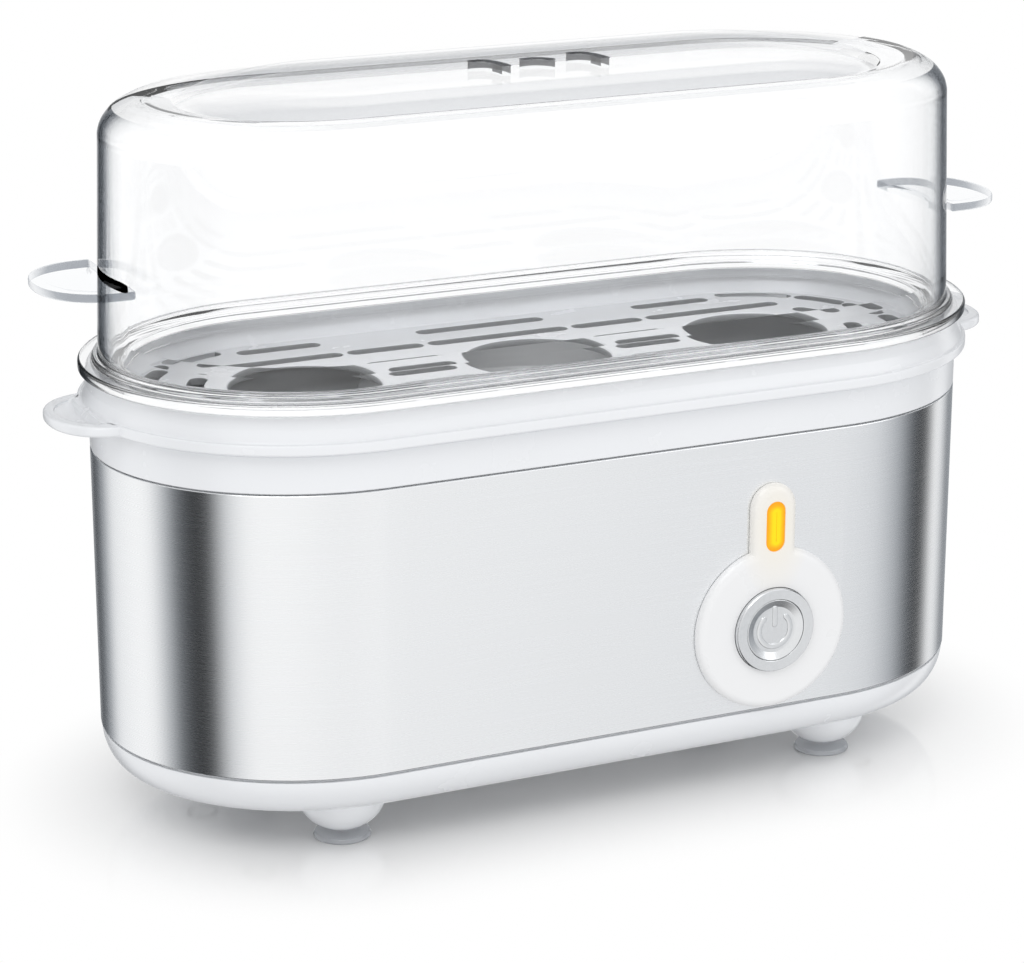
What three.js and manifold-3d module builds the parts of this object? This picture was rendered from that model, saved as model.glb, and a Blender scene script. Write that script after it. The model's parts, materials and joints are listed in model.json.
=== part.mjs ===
// Three-egg electric egg boiler, in millimetres.
// It stands on z = 0 with its long side along X and its control facing -Y.

import * as THREE from 'three';
import { mergeVertices } from 'three/addons/utils/BufferGeometryUtils.js';
import Module from 'manifold-3d';

const wasm = await Module();
wasm.setup();

// Fits and sheet thicknesses
const fitGap = 0.3;
const casingSheet = 0.7;
const mouldedWall = 2;

// Body outline: a straight middle with a half ellipse at each end
const bodyStraight = 101;
const bodyEndReach = 44.5;
const bodyHalfWidth = 41.2;
const outlineSteps = 14;

// Base pan
const baseBottomZ = 9;
const baseHeight = 8.2;
const baseFlatInset = 6;
const baseTopInset = 0.2;
const baseFloor = 2;
const baseLipHeight = 4.8;
const baseCurveShares = [0.25, 0.5, 0.75];
const footEndInset = 39.5;
const footSideInset = 14.5;
const footRadius = 8.5;
const footDrop = 7.8;
const footCurveShares = [0, 0.15, 0.45, 1];
const padRadius = 5.9;
const padHeight = 1.6;

// Base screws and the housing posts that they hold
const postEndInset = 25;
const postSideInset = 24.2;
const postRadius = 3.6;
const baseScrewRadius = 1.3;
const baseScrewHeadRadius = 2.8;
const baseScrewHeadHeight = 1.5;
const baseScrewLength = 13;
const bossHeight = 1.9;

// Casing and top housing
const casingHeight = 58.4;
const housingHeight = 8.1;
const housingWall = 2.4;
const housingSkirtDepth = 4;
const housingSkirtWall = 1.6;

// Heating bowl and what hangs below it
const bowlShelf = 6.2;
const bowlSheet = 1;
const bowlFlange = 4.4;
const bowlDepth = 9.1;
const bowlFloorRadius = 27;
const bowlCorner = 4;
const sealHeight = 0.8;
const sealWidth = 3;
const spreaderRadius = 24;
const spreaderHeight = 2;
const elementTube = 3;
const elementBend = 15;
const elementLeg = 15;
const pinRadius = 1.2;
const pinLength = 8;
const thermostatRadius = 6.5;
const thermostatHeight = 8;
const bladeWidth = 4;
const bladeSheet = 0.8;
const bladeLength = 6;
const bladeSpan = 8;
const fuseRadius = 1.7;
const fuseLength = 13;
const fuseY = -21.2;
const earthTabWidth = 7;
const earthTabLength = 9;
const earthTabY = 19;
const smallScrewRadius = 1.1;
const smallScrewHeadRadius = 2.4;
const smallScrewHeadHeight = 1.7;

// Egg tray
const trayLipThickness = 2.2;
const trayLipOverhang = 2.2;
const trayRimHeight = 7.4;
const trayWallFoot = 1.34;
const trayRimInset = 4.2;
const trayFloorInset = 7.2;
const trayFloor = 1.8;
const traySkirtInset = 2.8;
const traySkirtWall = 1.6;
const traySkirtDepth = 2.6;
const trayEdge = 0.35;
const seatPitch = 51.5;
const seatRadius = 16;
const seatBevel = 0.7;
const slotHalfWidth = 1.8;
const slotShares = [
  { along: 0.5, across: 0, halfLength: 0.107 },
  { along: 0.5, across: 0.218, halfLength: 0.126 },
  { along: 0.5, across: 0.473, halfLength: 0.126 },
  { along: 0, across: 0.473, halfLength: 0.278 },
  { along: 0, across: 0.704, halfLength: 0.252 },
  { along: 1, across: 0.473, halfLength: 0.278 },
  { along: 0.893, across: 0.704, halfLength: 0.146 },
];
const outerArcRadius = 32;
const outerArcAngles = [[4, 20], [26, 42], [50, 74]];
const innerArcRadius = 22;
const innerArcAngles = [[12, 34]];
const earReach = 12.7;
const earHalfWidth = 13.7;
const earSetback = 2.5;
const scoopDepth = 1;
const scoopBorder = 2;
const scoopSideBorder = 3.2;
const scoopSlope = 1.4;
const scoopStart = 1.6;

// Lid
const lidWall = 2;
const lidFlangeThickness = 2.1;
const lidFlangeOverhang = 1.84;
const lidStepInset = 1;
const lidStepHeight = 0.9;
const lidWallFootInset = 2.3;
const lidWallFootHeight = 4.4;
const lidWallTopInset = 3.75;
const lidWallHeight = 47.1;
const lidLipInset = 5.6;
const lidLipWall = 1.5;
const lidLipDepth = 2;
const shoulderDrop = 6.7;
const shoulderInset = 7.25;
const shoulderShares = [[0.06, 0.24], [0.18, 0.46], [0.6, 0.84], [0.78, 0.96], [1, 1]];
const panelEndReach = 26;
const panelHalfWidth = 25.4;
const panelBaseHeight = 52.7;
const panelRise = 3.85;
const panelShares = [[1, 0], [0.95, 0.38], [0.9, 0.64], [0.85, 0.82], [0.8, 0.92], [0.6, 1]];
const ventPitch = 11;
const ventHalfWidth = 1;
const ventLongShares = [[-0.21, 0.28], [0.21, 0.47], [0.21, -0.43]];
const ventShortShares = [[-0.25, 0.07], [0.08, 0.24], [0.25, -0.16]];
const gripTopHeight = 21.3;
const gripThickness = 2;
const gripFloor = 0.8;
const gripSetback = 1.5;
const gripReach = 13.4;
const gripHalfWidth = 14.7;
const gripRim = 2.4;
const gripWeb = 1.9;
const gripCornerShare = 0.909;

// Control on the front wall
const controlX = 33.5;
const controlHeight = 17.9;
const bezelRadius = 17.3;
const bezelStem = 5.1;
const bezelStemRise = 25.8;
const bezelProud = 2;
const bezelSlope = 1.9;
const bezelDrop = 1.5;
const collarWall = 2;
const collarDepth = 4;
const ringRadius = 9.2;
const ringWidth = 2.4;
const ringProud = 3.1;
const ringDish = 0.8;
const ringBevel = 0.3;
const buttonRecess = 1.1;
const buttonDish = 0.35;
const buttonLength = 4.2;
const buttonTravel = 2.5;
const symbolRadius = 3.6;
const symbolHalfWidth = 0.55;
const symbolHeight = 0.25;
const symbolBar = 4.6;
const lensRise = 22;
const lensHalfWidth = 2.13;
const lensHalfLength = 5.3;
const lensProud = 0.4;
const lensDepth = 4.2;
const bossSpan = 28.4;
const bossRadius = 2.6;
const bezelBossDepth = 5.2;
const bracketSheet = 1.2;
const bracketWidth = 34;
const bracketDrop = 8.7;
const bracketRise = 28.3;
const boardSheet = 1.6;
const boardWidth = 30;
const boardDrop = 7.7;
const boardRise = 26.3;
const standoffLength = 9.6;
const standoffRadius = 2.6;
const standoffSpan = 24;
const standoffRise = 13.3;
const switchSide = 12;
const plungerRadius = 2.6;
const plungerLength = 8.7;
const springRadius = 4.7;
const springWire = 0.5;
const springTurns = 3;
const springSteps = 8;
const lampRadius = 1.9;

// Mains entry
const glandX = -36;
const glandHeight = 12.2;
const glandBore = 3.4;
const glandBody = 4.8;
const glandFlange = 6.6;
const glandFlangeHeight = 1.6;
const glandLength = 9.2;
const clampSpan = 15;
const clampSetback = 14.2;
const clampRise = 4;
const clampHeight = 2.4;
const clampWidth = 7;
const clampPostRadius = 2.7;
const cordRestDrop = 3.6;
const terminalX = -38;
const terminalY = 4;
const terminalLength = 26;
const terminalWidth = 12;
const terminalHeight = 11;
const terminalPocket = 2;
const terminalPitch = 8;

// Internal leads: straight at both ends, with bends at shares of the way between
const leadRadius = 0.9;
const leadStraight = 4;
const leadEntryRise = 4;
const earthLeadInset = 1.6;
const liveLeadShift = 5;
const liveLeadDrop = 1.7;
const switchedLeadShift = 4;
const switchedLeadRise = 14.3;
const liveBendShares = [[0.513, 0.764, 0.251]];
const neutralBendShares = [[0.435, 0.76, 0.56]];
const earthBendShares = [[0.533, 0.895, 0.436]];
const switchedBendShares = [[0.529, 0.474, 0.5]];
const linkBendShares = [[1.176, 0.66, 0.228], [1.588, 1, 0.861]];
const fuseBendShares = [[2.667, 0.214, 0.47], [2.43, 0.679, 1.059]];

// Counts of facets
const turnSegments = 24;
const smallSegments = 10;
const tongueSteps = 12;
const footSegments = 14;
const tinySegments = 8;
const leadSteps = 9;
const leadSides = 6;
const elementSteps = 16;
const slotEndSteps = 3;
const slotArcSteps = 2;
const lensEndSteps = 6;

// Places and levels worked out from the sizes above
const bodyHalfLength = bodyStraight / 2 + bodyEndReach;
const frontY = -bodyHalfWidth;
const baseTopZ = baseBottomZ + baseHeight;
const footX = bodyHalfLength - footEndInset;
const footY = bodyHalfWidth - footSideInset;
const postX = bodyHalfLength - postEndInset;
const postY = bodyHalfWidth - postSideInset;
const casingBottomZ = baseTopZ + 2 * fitGap;
const casingTopZ = casingBottomZ + casingHeight;
const housingTopZ = casingTopZ + housingHeight;
const housingFloorZ = casingTopZ;
const housingFloorTopZ = casingTopZ + mouldedWall;
const bowlRadius = bodyHalfWidth - housingWall - bowlShelf;
const sealBottomZ = housingFloorTopZ + fitGap;
const bowlFlangeZ = sealBottomZ + sealHeight + fitGap;
const bowlTopZ = bowlFlangeZ + bowlSheet;
const bowlBottomZ = bowlFlangeZ - bowlDepth;
const spreaderTopZ = bowlBottomZ - fitGap;
const spreaderBottomZ = spreaderTopZ - spreaderHeight;
const heaterPartsZ = spreaderBottomZ - fitGap;
const elementZ = heaterPartsZ - elementTube;
const bladeTopZ = heaterPartsZ - thermostatHeight + bladeSheet;
const bladeBottomZ = bladeTopZ - bladeLength;
const trayLipBottomZ = housingTopZ + fitGap;
const trayFloorTopZ = trayLipBottomZ + trayLipThickness;
const trayFloorBottomZ = trayFloorTopZ - trayFloor;
const trayRimZ = trayLipBottomZ + trayRimHeight;
const earCentreX = bodyHalfLength - earSetback;
const scoopInnerX = bodyHalfLength + scoopStart;
const lidBottomZ = trayRimZ + fitGap;
const lidWallTopZ = lidBottomZ + lidWallHeight;
const panelBaseZ = lidBottomZ + panelBaseHeight;
const gripTopZ = lidBottomZ + gripTopHeight;
const gripCentreX = bodyHalfLength - gripSetback;
const controlZ = casingBottomZ + controlHeight;
const lensZ = controlZ + lensRise;
const standoffZ = controlZ + standoffRise;
const bezelFrontY = frontY - bezelProud;
const bezelBackY = frontY - fitGap;
const bossEndY = bezelBackY + bezelBossDepth;
const bracketFrontY = bossEndY + fitGap;
const bracketBackY = bracketFrontY + bracketSheet;
const switchFrontY = bracketBackY + fitGap;
const standoffEndY = bracketBackY + standoffLength;
const boardFrontY = standoffEndY + fitGap;
const boardBackY = boardFrontY + boardSheet;
const switchBackY = boardFrontY - fitGap;
const buttonFrontY = frontY - ringProud + buttonRecess;
const buttonBackY = buttonFrontY + buttonLength;
const buttonRadius = ringRadius - ringWidth - fitGap;
const terminalBottomZ = baseBottomZ + baseFloor + fitGap;
const glandZ = casingBottomZ + glandHeight;
const clampY = bodyHalfWidth - clampSetback;
const clampTopZ = glandZ + clampRise;

// Materials
function finish(color, roughness, metalness, opacity = 1) {
  return new THREE.MeshStandardMaterial({ color, roughness, metalness, opacity, transparent: opacity < 1 });
}
const whitePlastic = finish('#eceef2', 0.3, 0);
const clearPlastic = finish('#eef3f6', 0.05, 0, 0.3);
const clearRubber = finish('#c9ced2', 0.35, 0, 0.6);
const brushedSteel = finish('#cfd2d5', 0.35, 1);
const chrome = finish('#d8dadc', 0.2, 1);
const amber = finish('#f08a1c', 0.25, 0, 0.8);
const aluminium = finish('#b9bcbf', 0.45, 1);
const zincSteel = finish('#b4b7ba', 0.4, 1);
const darkPlastic = finish('#2b2d30', 0.5, 0);
const silicone = finish('#d9dcdf', 0.6, 0);
const boardGreen = finish('#2f6b45', 0.5, 0);
const brownLead = finish('#6b3f24', 0.5, 0);
const blueLead = finish('#2a5ea8', 0.5, 0);
const earthLead = finish('#8bb43a', 0.5, 0);
const brass = finish('#b08d4a', 0.35, 1);

// Solids from three.js geometry
function toSolid(geometry) {
  const bare = geometry.clone();
  bare.deleteAttribute('normal');
  bare.deleteAttribute('uv');
  const merged = mergeVertices(bare);
  const vertProperties = new Float32Array(merged.attributes.position.array);
  const corner = (index) => new THREE.Vector3().fromArray(vertProperties, 3 * index);
  const triangles = [];
  let volume = 0;
  for (let start = 0; start < merged.index.count; start += 3) {
    const [a, b, c] = merged.index.array.slice(start, start + 3);
    if (a !== b && b !== c && c !== a) {
      triangles.push([a, b, c]);
      volume += corner(a).dot(corner(b).cross(corner(c)));
    }
  }
  const facing = volume < 0 ? triangles.map(([a, b, c]) => [a, c, b]) : triangles;
  const triVerts = new Uint32Array(facing.flat());
  return new wasm.Manifold(new wasm.Mesh({ numProp: 3, vertProperties, triVerts }));
}

function toGeometry(solid) {
  const mesh = solid.getMesh();
  const geometry = new THREE.BufferGeometry();
  geometry.setAttribute('position', new THREE.BufferAttribute(mesh.vertProperties, mesh.numProp));
  geometry.setIndex(new THREE.BufferAttribute(mesh.triVerts, 1));
  geometry.computeVertexNormals();
  return geometry;
}

// A skin over a row of rings with equal counts, capped at both ends or joined into a loop
function skin(rings, { loop = false, hub = null } = {}) {
  const count = rings[0].length;
  const points = rings.flat();
  const index = [];
  const bands = loop ? rings.length : rings.length - 1;
  for (let band = 0; band < bands; band += 1) {
    const low = band * count;
    const high = ((band + 1) % rings.length) * count;
    for (let step = 0; step < count; step += 1) {
      const next = (step + 1) % count;
      index.push(low + step, low + next, high + next, low + step, high + next, high + step);
    }
  }
  if (!loop) {
    const lastStart = points.length - count;
    for (const [ring, start, reverse] of [[rings[0], 0, true], [rings.at(-1), lastStart, false]]) {
      const centre = new THREE.Vector3();
      ring.forEach((point) => centre.addScaledVector(point, 1 / count));
      if (hub) centre.set(hub.x, ring[0].y, hub.z);
      const middle = points.push(centre) - 1;
      for (let step = 0; step < count; step += 1) {
        const next = (step + 1) % count;
        const [from, to] = reverse ? [next, step] : [step, next];
        index.push(start + from, start + to, middle);
      }
    }
  }
  return toSolid(new THREE.BufferGeometry().setFromPoints(points).setIndex(index));
}

// Round-ended outline in plan, counter-clockwise from the front of the right end
function endedRing(straight, reach, halfWidth, z) {
  const points = [];
  for (const side of [1, -1]) {
    for (let step = 0; step <= outlineSteps; step += 1) {
      const angle = Math.PI * (step / outlineSteps - side / 2);
      const x = (side * straight) / 2 + reach * Math.cos(angle);
      points.push(new THREE.Vector3(x, halfWidth * Math.sin(angle), z));
    }
  }
  return points;
}

function bodyRing(inset, z) {
  return endedRing(bodyStraight, bodyEndReach - inset, bodyHalfWidth - inset, z);
}

function bodyPrism(inset, lowZ, highZ) {
  return skin([bodyRing(inset, lowZ), bodyRing(inset, highZ)]);
}

// Prism of a plan shape, and one of a front-view shape that grows toward the viewer
function plate(shape, lowZ, highZ) {
  const options = { depth: highZ - lowZ, bevelEnabled: false };
  return toSolid(new THREE.ExtrudeGeometry(shape, options).translate(0, 0, lowZ));
}

function frontPlate(shape, backY, faceY) {
  const options = { depth: backY - faceY, bevelEnabled: false };
  return toSolid(new THREE.ExtrudeGeometry(shape, options).rotateX(Math.PI / 2).translate(0, backY, 0));
}

function block(lowX, highX, lowY, highY, lowZ, highZ) {
  const shape = new THREE.Shape();
  shape.moveTo(lowX, lowY);
  shape.lineTo(highX, lowY);
  shape.lineTo(highX, highY);
  shape.lineTo(lowX, highY);
  return plate(shape, lowZ, highZ);
}

// Turned solids: rows of [radius, height] about Z, or of [radius, y] about an axis along Y
function turned(profile, segments = smallSegments) {
  const points = profile.map(([radius, height]) => new THREE.Vector2(radius, height));
  return toSolid(new THREE.LatheGeometry(points, segments).rotateX(Math.PI / 2));
}

function turnedAlongY(profile, segments = smallSegments) {
  const points = profile.map(([radius, y]) => new THREE.Vector2(radius, y));
  return toSolid(new THREE.LatheGeometry(points, segments));
}

function disc(radius, lowZ, highZ, segments = smallSegments) {
  return turned([[0, lowZ], [radius, lowZ], [radius, highZ], [0, highZ]], segments);
}

function discAlongY(radius, lowY, highY, segments = smallSegments) {
  return turnedAlongY([[0, lowY], [radius, lowY], [radius, highY], [0, highY]], segments);
}

function tube(path, radius, steps, sides = tinySegments) {
  const section = new THREE.Shape();
  section.absarc(0, 0, radius, 0, 2 * Math.PI);
  return toSolid(new THREE.ExtrudeGeometry(section, { steps, extrudePath: path, curveSegments: sides / 2 }));
}

function mirroredInX(solid) {
  return solid.add(solid.mirror([1, 0, 0]));
}

function atFourCorners(halfSpanX, halfSpanY, make) {
  const solids = [];
  for (const signX of [-1, 1]) {
    for (const signY of [-1, 1]) {
      solids.push(make(signX * halfSpanX, signY * halfSpanY));
    }
  }
  return solids;
}

// Plan shapes with round ends
function circlePoints(centreX, centreY, radius, from, to, steps) {
  const points = [];
  for (let step = 0; step <= steps; step += 1) {
    const angle = THREE.MathUtils.lerp(from, to, step / steps);
    points.push(new THREE.Vector2(centreX + radius * Math.cos(angle), centreY + radius * Math.sin(angle)));
  }
  return points;
}

function capsule(halfLength, halfWidth, steps = slotEndSteps) {
  return new THREE.Shape([
    ...circlePoints(halfLength, 0, halfWidth, -Math.PI / 2, Math.PI / 2, steps),
    ...circlePoints(-halfLength, 0, halfWidth, Math.PI / 2, 1.5 * Math.PI, steps),
  ]);
}

function arcSlot(radius, halfWidth, fromDegrees, toDegrees, steps = slotArcSteps) {
  const from = THREE.MathUtils.degToRad(fromDegrees);
  const to = THREE.MathUtils.degToRad(toDegrees);
  const end = (angle, turn) => circlePoints(
    radius * Math.cos(angle), radius * Math.sin(angle), halfWidth,
    angle + turn, angle + turn + Math.PI, slotEndSteps,
  );
  return new THREE.Shape([
    ...circlePoints(0, 0, radius + halfWidth, from, to, steps).slice(1, -1),
    ...end(to, 0),
    ...circlePoints(0, 0, radius - halfWidth, to, from, steps).slice(1, -1),
    ...end(from, Math.PI),
  ]);
}

// A band of even width along a curve, with square ends
function band(curve, halfWidth, steps) {
  const sides = [1, -1].map((side) => curve.getPoints(steps).map((point, step) => {
    const heading = curve.getTangent(step / steps);
    return new THREE.Vector2(point.x + side * halfWidth * heading.y, point.y - side * halfWidth * heading.x);
  }));
  return new THREE.Shape([...sides[0], ...sides[1].reverse()]);
}

// The outer end of a tongue: half of a rounded rectangle between a circle and a box
function tongueEnd(centreX, reach, halfWidth) {
  const points = [];
  for (let step = 0; step <= tongueSteps; step += 1) {
    const angle = Math.PI * (step / tongueSteps - 0.5);
    const across = Math.abs(Math.sin(angle)) ** gripCornerShare;
    points.push(new THREE.Vector2(
      centreX + reach * Math.cos(angle) ** gripCornerShare,
      Math.sign(Math.sin(angle)) * halfWidth * across,
    ));
  }
  return points;
}

function tongue(centreX, reach, halfWidth, rootX) {
  const end = tongueEnd(centreX, reach, halfWidth);
  return new THREE.Shape([new THREE.Vector2(rootX, -halfWidth), ...end, new THREE.Vector2(rootX, halfWidth)]);
}

// Base pan: flat underside, curved edge, locating lip, four domed feet and screw bosses
function basePan() {
  const curve = baseCurveShares.map((share) => {
    const angle = (share * Math.PI) / 2;
    const inset = baseTopInset + (baseFlatInset - baseTopInset) * (1 - Math.sin(angle)) ** 1.15;
    return bodyRing(inset, baseTopZ - (baseTopZ - baseBottomZ) * Math.cos(angle) ** 1.3);
  });
  const lipInset = casingSheet + fitGap;
  const shell = skin([
    bodyRing(baseFlatInset, baseBottomZ),
    ...curve,
    bodyRing(baseTopInset, baseTopZ),
    bodyRing(lipInset, baseTopZ),
    bodyRing(lipInset, baseTopZ + baseLipHeight),
    bodyRing(lipInset + mouldedWall, baseTopZ + baseLipHeight),
    bodyRing(lipInset + mouldedWall, baseTopZ - baseFloor),
    bodyRing(baseFlatInset + baseFloor, baseBottomZ + baseFloor),
  ]);
  const footTipZ = padHeight + fitGap;
  const dome = [[0, footTipZ]];
  for (const share of footCurveShares) {
    const height = footTipZ + share * (baseBottomZ - footTipZ);
    dome.push([footRadius * Math.sqrt(1 - ((baseBottomZ - height) / footDrop) ** 2), height]);
  }
  dome.push([footRadius, baseBottomZ + baseFloor / 2], [0, baseBottomZ + baseFloor / 2]);
  const feet = atFourCorners(footX, footY, (x, y) => turned(dome, footSegments).translate([x, y, 0]));
  const bossTopZ = baseBottomZ + baseFloor + bossHeight;
  const bosses = atFourCorners(postX, postY, (x, y) => (
    disc(postRadius + mouldedWall, baseBottomZ + baseFloor / 2, bossTopZ).translate([x, y, 0])));
  const pocketTopZ = bossTopZ - mouldedWall + fitGap;
  const pockets = atFourCorners(postX, postY, (x, y) => {
    const pocket = disc(baseScrewHeadRadius + 2 * fitGap, baseBottomZ - baseFloor, pocketTopZ);
    return pocket.add(disc(baseScrewRadius + fitGap, baseBottomZ, bossTopZ + baseFloor)).translate([x, y, 0]);
  });
  const floorTopZ = baseBottomZ + baseFloor;
  const clampPosts = [-1, 1].map((side) => {
    const post = disc(clampPostRadius, floorTopZ - baseFloor / 2, clampTopZ - fitGap);
    const pilot = disc(smallScrewRadius + fitGap, clampTopZ - 8 * smallScrewRadius, clampTopZ);
    return post.subtract(pilot).translate([glandX + (side * clampSpan) / 2, clampY, 0]);
  });
  const cordRest = block(
    glandX - glandBore, glandX + glandBore,
    clampY - mouldedWall / 2, clampY + mouldedWall / 2,
    floorTopZ - baseFloor / 2, glandZ - cordRestDrop,
  );
  const whole = [...feet, ...bosses, ...clampPosts, cordRest].reduce((sum, solid) => sum.add(solid), shell);
  return pockets.reduce((left, pocket) => left.subtract(pocket), whole);
}

function footPad(x, y) {
  return disc(padRadius, 0, padHeight, footSegments).translate([x, y, 0]);
}

function baseScrew(x, y) {
  const headTopZ = baseBottomZ + baseFloor + bossHeight - mouldedWall;
  return turned([
    [0, headTopZ - baseScrewHeadHeight],
    [baseScrewHeadRadius, headTopZ - baseScrewHeadHeight],
    [baseScrewHeadRadius, headTopZ],
    [baseScrewRadius, headTopZ],
    [baseScrewRadius, headTopZ + baseScrewLength],
    [0, headTopZ + baseScrewLength],
  ], tinySegments).translate([x, y, 0]);
}

// Steel band with openings for the control and the mains gland
function steelCasing() {
  const band = skin([
    bodyRing(0, casingBottomZ),
    bodyRing(0, casingTopZ),
    bodyRing(casingSheet, casingTopZ),
    bodyRing(casingSheet, casingBottomZ),
  ], { loop: true });
  const collarRadius = ringRadius + collarWall + 2 * fitGap;
  const collarHole = discAlongY(collarRadius, frontY - mouldedWall, frontY + mouldedWall, turnSegments)
    .translate([controlX, 0, controlZ]);
  const lensHole = lensPrism(2 * fitGap + collarWall / 2, frontY + mouldedWall, frontY - mouldedWall);
  const bossHoles = bossCentres().map((x) => (
    discAlongY(bossRadius + fitGap, frontY - mouldedWall, frontY + mouldedWall).translate([x, 0, controlZ])));
  const backY = -frontY;
  const glandHole = discAlongY(glandBody + fitGap, backY - mouldedWall, backY + mouldedWall, turnSegments / 2)
    .translate([glandX, 0, glandZ]);
  return [collarHole, lensHole, ...bossHoles, glandHole].reduce((left, hole) => left.subtract(hole), band);
}

function bossCentres() {
  return [controlX - bossSpan / 2, controlX + bossSpan / 2];
}

// Top housing: outer ring, skirt inside the casing, floor round the bowl and four long screw posts
function topHousing() {
  const skirtInset = casingSheet + fitGap;
  const ring = skin([
    bodyRing(skirtInset + housingSkirtWall, housingFloorZ),
    bodyRing(skirtInset + housingSkirtWall, housingFloorZ - housingSkirtDepth),
    bodyRing(skirtInset, housingFloorZ - housingSkirtDepth),
    bodyRing(skirtInset, housingFloorZ + fitGap),
    bodyRing(0, housingFloorZ + fitGap),
    bodyRing(0, housingTopZ),
    bodyRing(housingWall, housingTopZ),
    bodyRing(housingWall, housingFloorTopZ),
  ]);
  const mouth = disc(bowlRadius + 2 * fitGap, housingFloorZ - mouldedWall, housingTopZ, turnSegments);
  const postBottomZ = baseBottomZ + baseFloor + bossHeight + fitGap;
  const posts = atFourCorners(postX, postY, (x, y) => {
    const post = disc(postRadius, postBottomZ, housingFloorZ + mouldedWall / 2);
    const pilotTopZ = postBottomZ + baseScrewLength;
    const pilot = disc(baseScrewRadius + fitGap, postBottomZ - fitGap, pilotTopZ, tinySegments);
    return post.subtract(pilot).translate([x, y, 0]);
  });
  return posts.reduce((sum, post) => sum.add(post), ring.subtract(mouth));
}

// Bowl, seal, heat spreader, element and safety parts
function heatingBowl() {
  return turned([
    [0, bowlBottomZ],
    [bowlFloorRadius, bowlBottomZ],
    [bowlRadius - bowlSheet, bowlBottomZ + bowlCorner],
    [bowlRadius, bowlFlangeZ],
    [bowlRadius + bowlFlange, bowlFlangeZ],
    [bowlRadius + bowlFlange, bowlTopZ],
    [bowlRadius - bowlSheet, bowlTopZ],
    [bowlRadius - 2 * bowlSheet, bowlBottomZ + bowlSheet + bowlCorner],
    [bowlFloorRadius - bowlSheet / 2, bowlBottomZ + bowlSheet],
    [0, bowlBottomZ + bowlSheet],
  ], turnSegments);
}

function bowlSeal() {
  const inner = bowlRadius + 2 * fitGap;
  const outer = inner + sealWidth;
  return turned([
    [inner, sealBottomZ],
    [outer, sealBottomZ],
    [outer, sealBottomZ + sealHeight],
    [inner, sealBottomZ + sealHeight],
    [inner, sealBottomZ],
  ], turnSegments);
}

function heatSpreader() {
  const holeTopZ = spreaderBottomZ + spreaderHeight / 2;
  const screwHole = disc(smallScrewRadius + fitGap, spreaderBottomZ - mouldedWall, holeTopZ);
  return disc(spreaderRadius, spreaderBottomZ, spreaderTopZ, turnSegments)
    .subtract(screwHole.translate([0, earthTabY, 0]));
}

function heatingElement() {
  const path = new THREE.CurvePath();
  const legEnd = (side) => new THREE.Vector3(side * elementBend, elementLeg, 0);
  const legStart = (side) => new THREE.Vector3(side * elementBend, 0, 0);
  const bend = [];
  for (let step = 0; step <= 8; step += 1) {
    const angle = Math.PI * (1 + step / 8);
    bend.push(new THREE.Vector3(elementBend * Math.cos(angle), elementBend * Math.sin(angle), 0));
  }
  path.add(new THREE.LineCurve3(legEnd(-1), legStart(-1)));
  path.add(new THREE.CatmullRomCurve3(bend));
  path.add(new THREE.LineCurve3(legStart(1), legEnd(1)));
  const pins = [-1, 1].map((side) => (
    discAlongY(pinRadius, elementLeg - mouldedWall, elementLeg + pinLength, tinySegments)
      .translate([side * elementBend, 0, 0])));
  const sheath = tube(path, elementTube, elementSteps);
  return pins.reduce((sum, pin) => sum.add(pin), sheath).translate([0, 0, elementZ]);
}

function thermostat() {
  const body = disc(thermostatRadius, heaterPartsZ - thermostatHeight, heaterPartsZ);
  return [-1, 1].reduce((sum, side) => sum.add(block(
    (side * bladeSpan - bladeWidth) / 2, (side * bladeSpan + bladeWidth) / 2,
    -bladeSheet / 2, bladeSheet / 2,
    bladeBottomZ, bladeTopZ,
  )), body);
}

function thermalFuse() {
  const body = disc(fuseRadius, -fuseLength / 2, fuseLength / 2, tinySegments).rotate([0, 90, 0]);
  return body.translate([0, fuseY, heaterPartsZ - fuseRadius]);
}

function earthTab() {
  const flat = block(
    -earthTabWidth / 2, earthTabWidth / 2,
    earthTabY - earthTabWidth / 2, earthTabY - earthTabWidth / 2 + earthTabLength,
    heaterPartsZ - bladeSheet, heaterPartsZ,
  );
  const hole = disc(smallScrewRadius + fitGap, heaterPartsZ - mouldedWall, heaterPartsZ + mouldedWall);
  return flat.subtract(hole.translate([0, earthTabY, 0]));
}

function smallScrewProfile(headEnd, direction, length) {
  return [
    [0, headEnd],
    [smallScrewHeadRadius, headEnd],
    [smallScrewHeadRadius, headEnd + direction * smallScrewHeadHeight],
    [smallScrewRadius, headEnd + direction * smallScrewHeadHeight],
    [smallScrewRadius, headEnd + direction * (smallScrewHeadHeight + length)],
    [0, headEnd + direction * (smallScrewHeadHeight + length)],
  ];
}

function earthScrew() {
  const headTopZ = heaterPartsZ - bladeSheet - fitGap;
  const length = 2 * fitGap + bladeSheet + spreaderHeight / 2 - fitGap;
  return turned(smallScrewProfile(headTopZ - smallScrewHeadHeight, 1, length), tinySegments)
    .translate([0, earthTabY, 0]);
}

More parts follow.
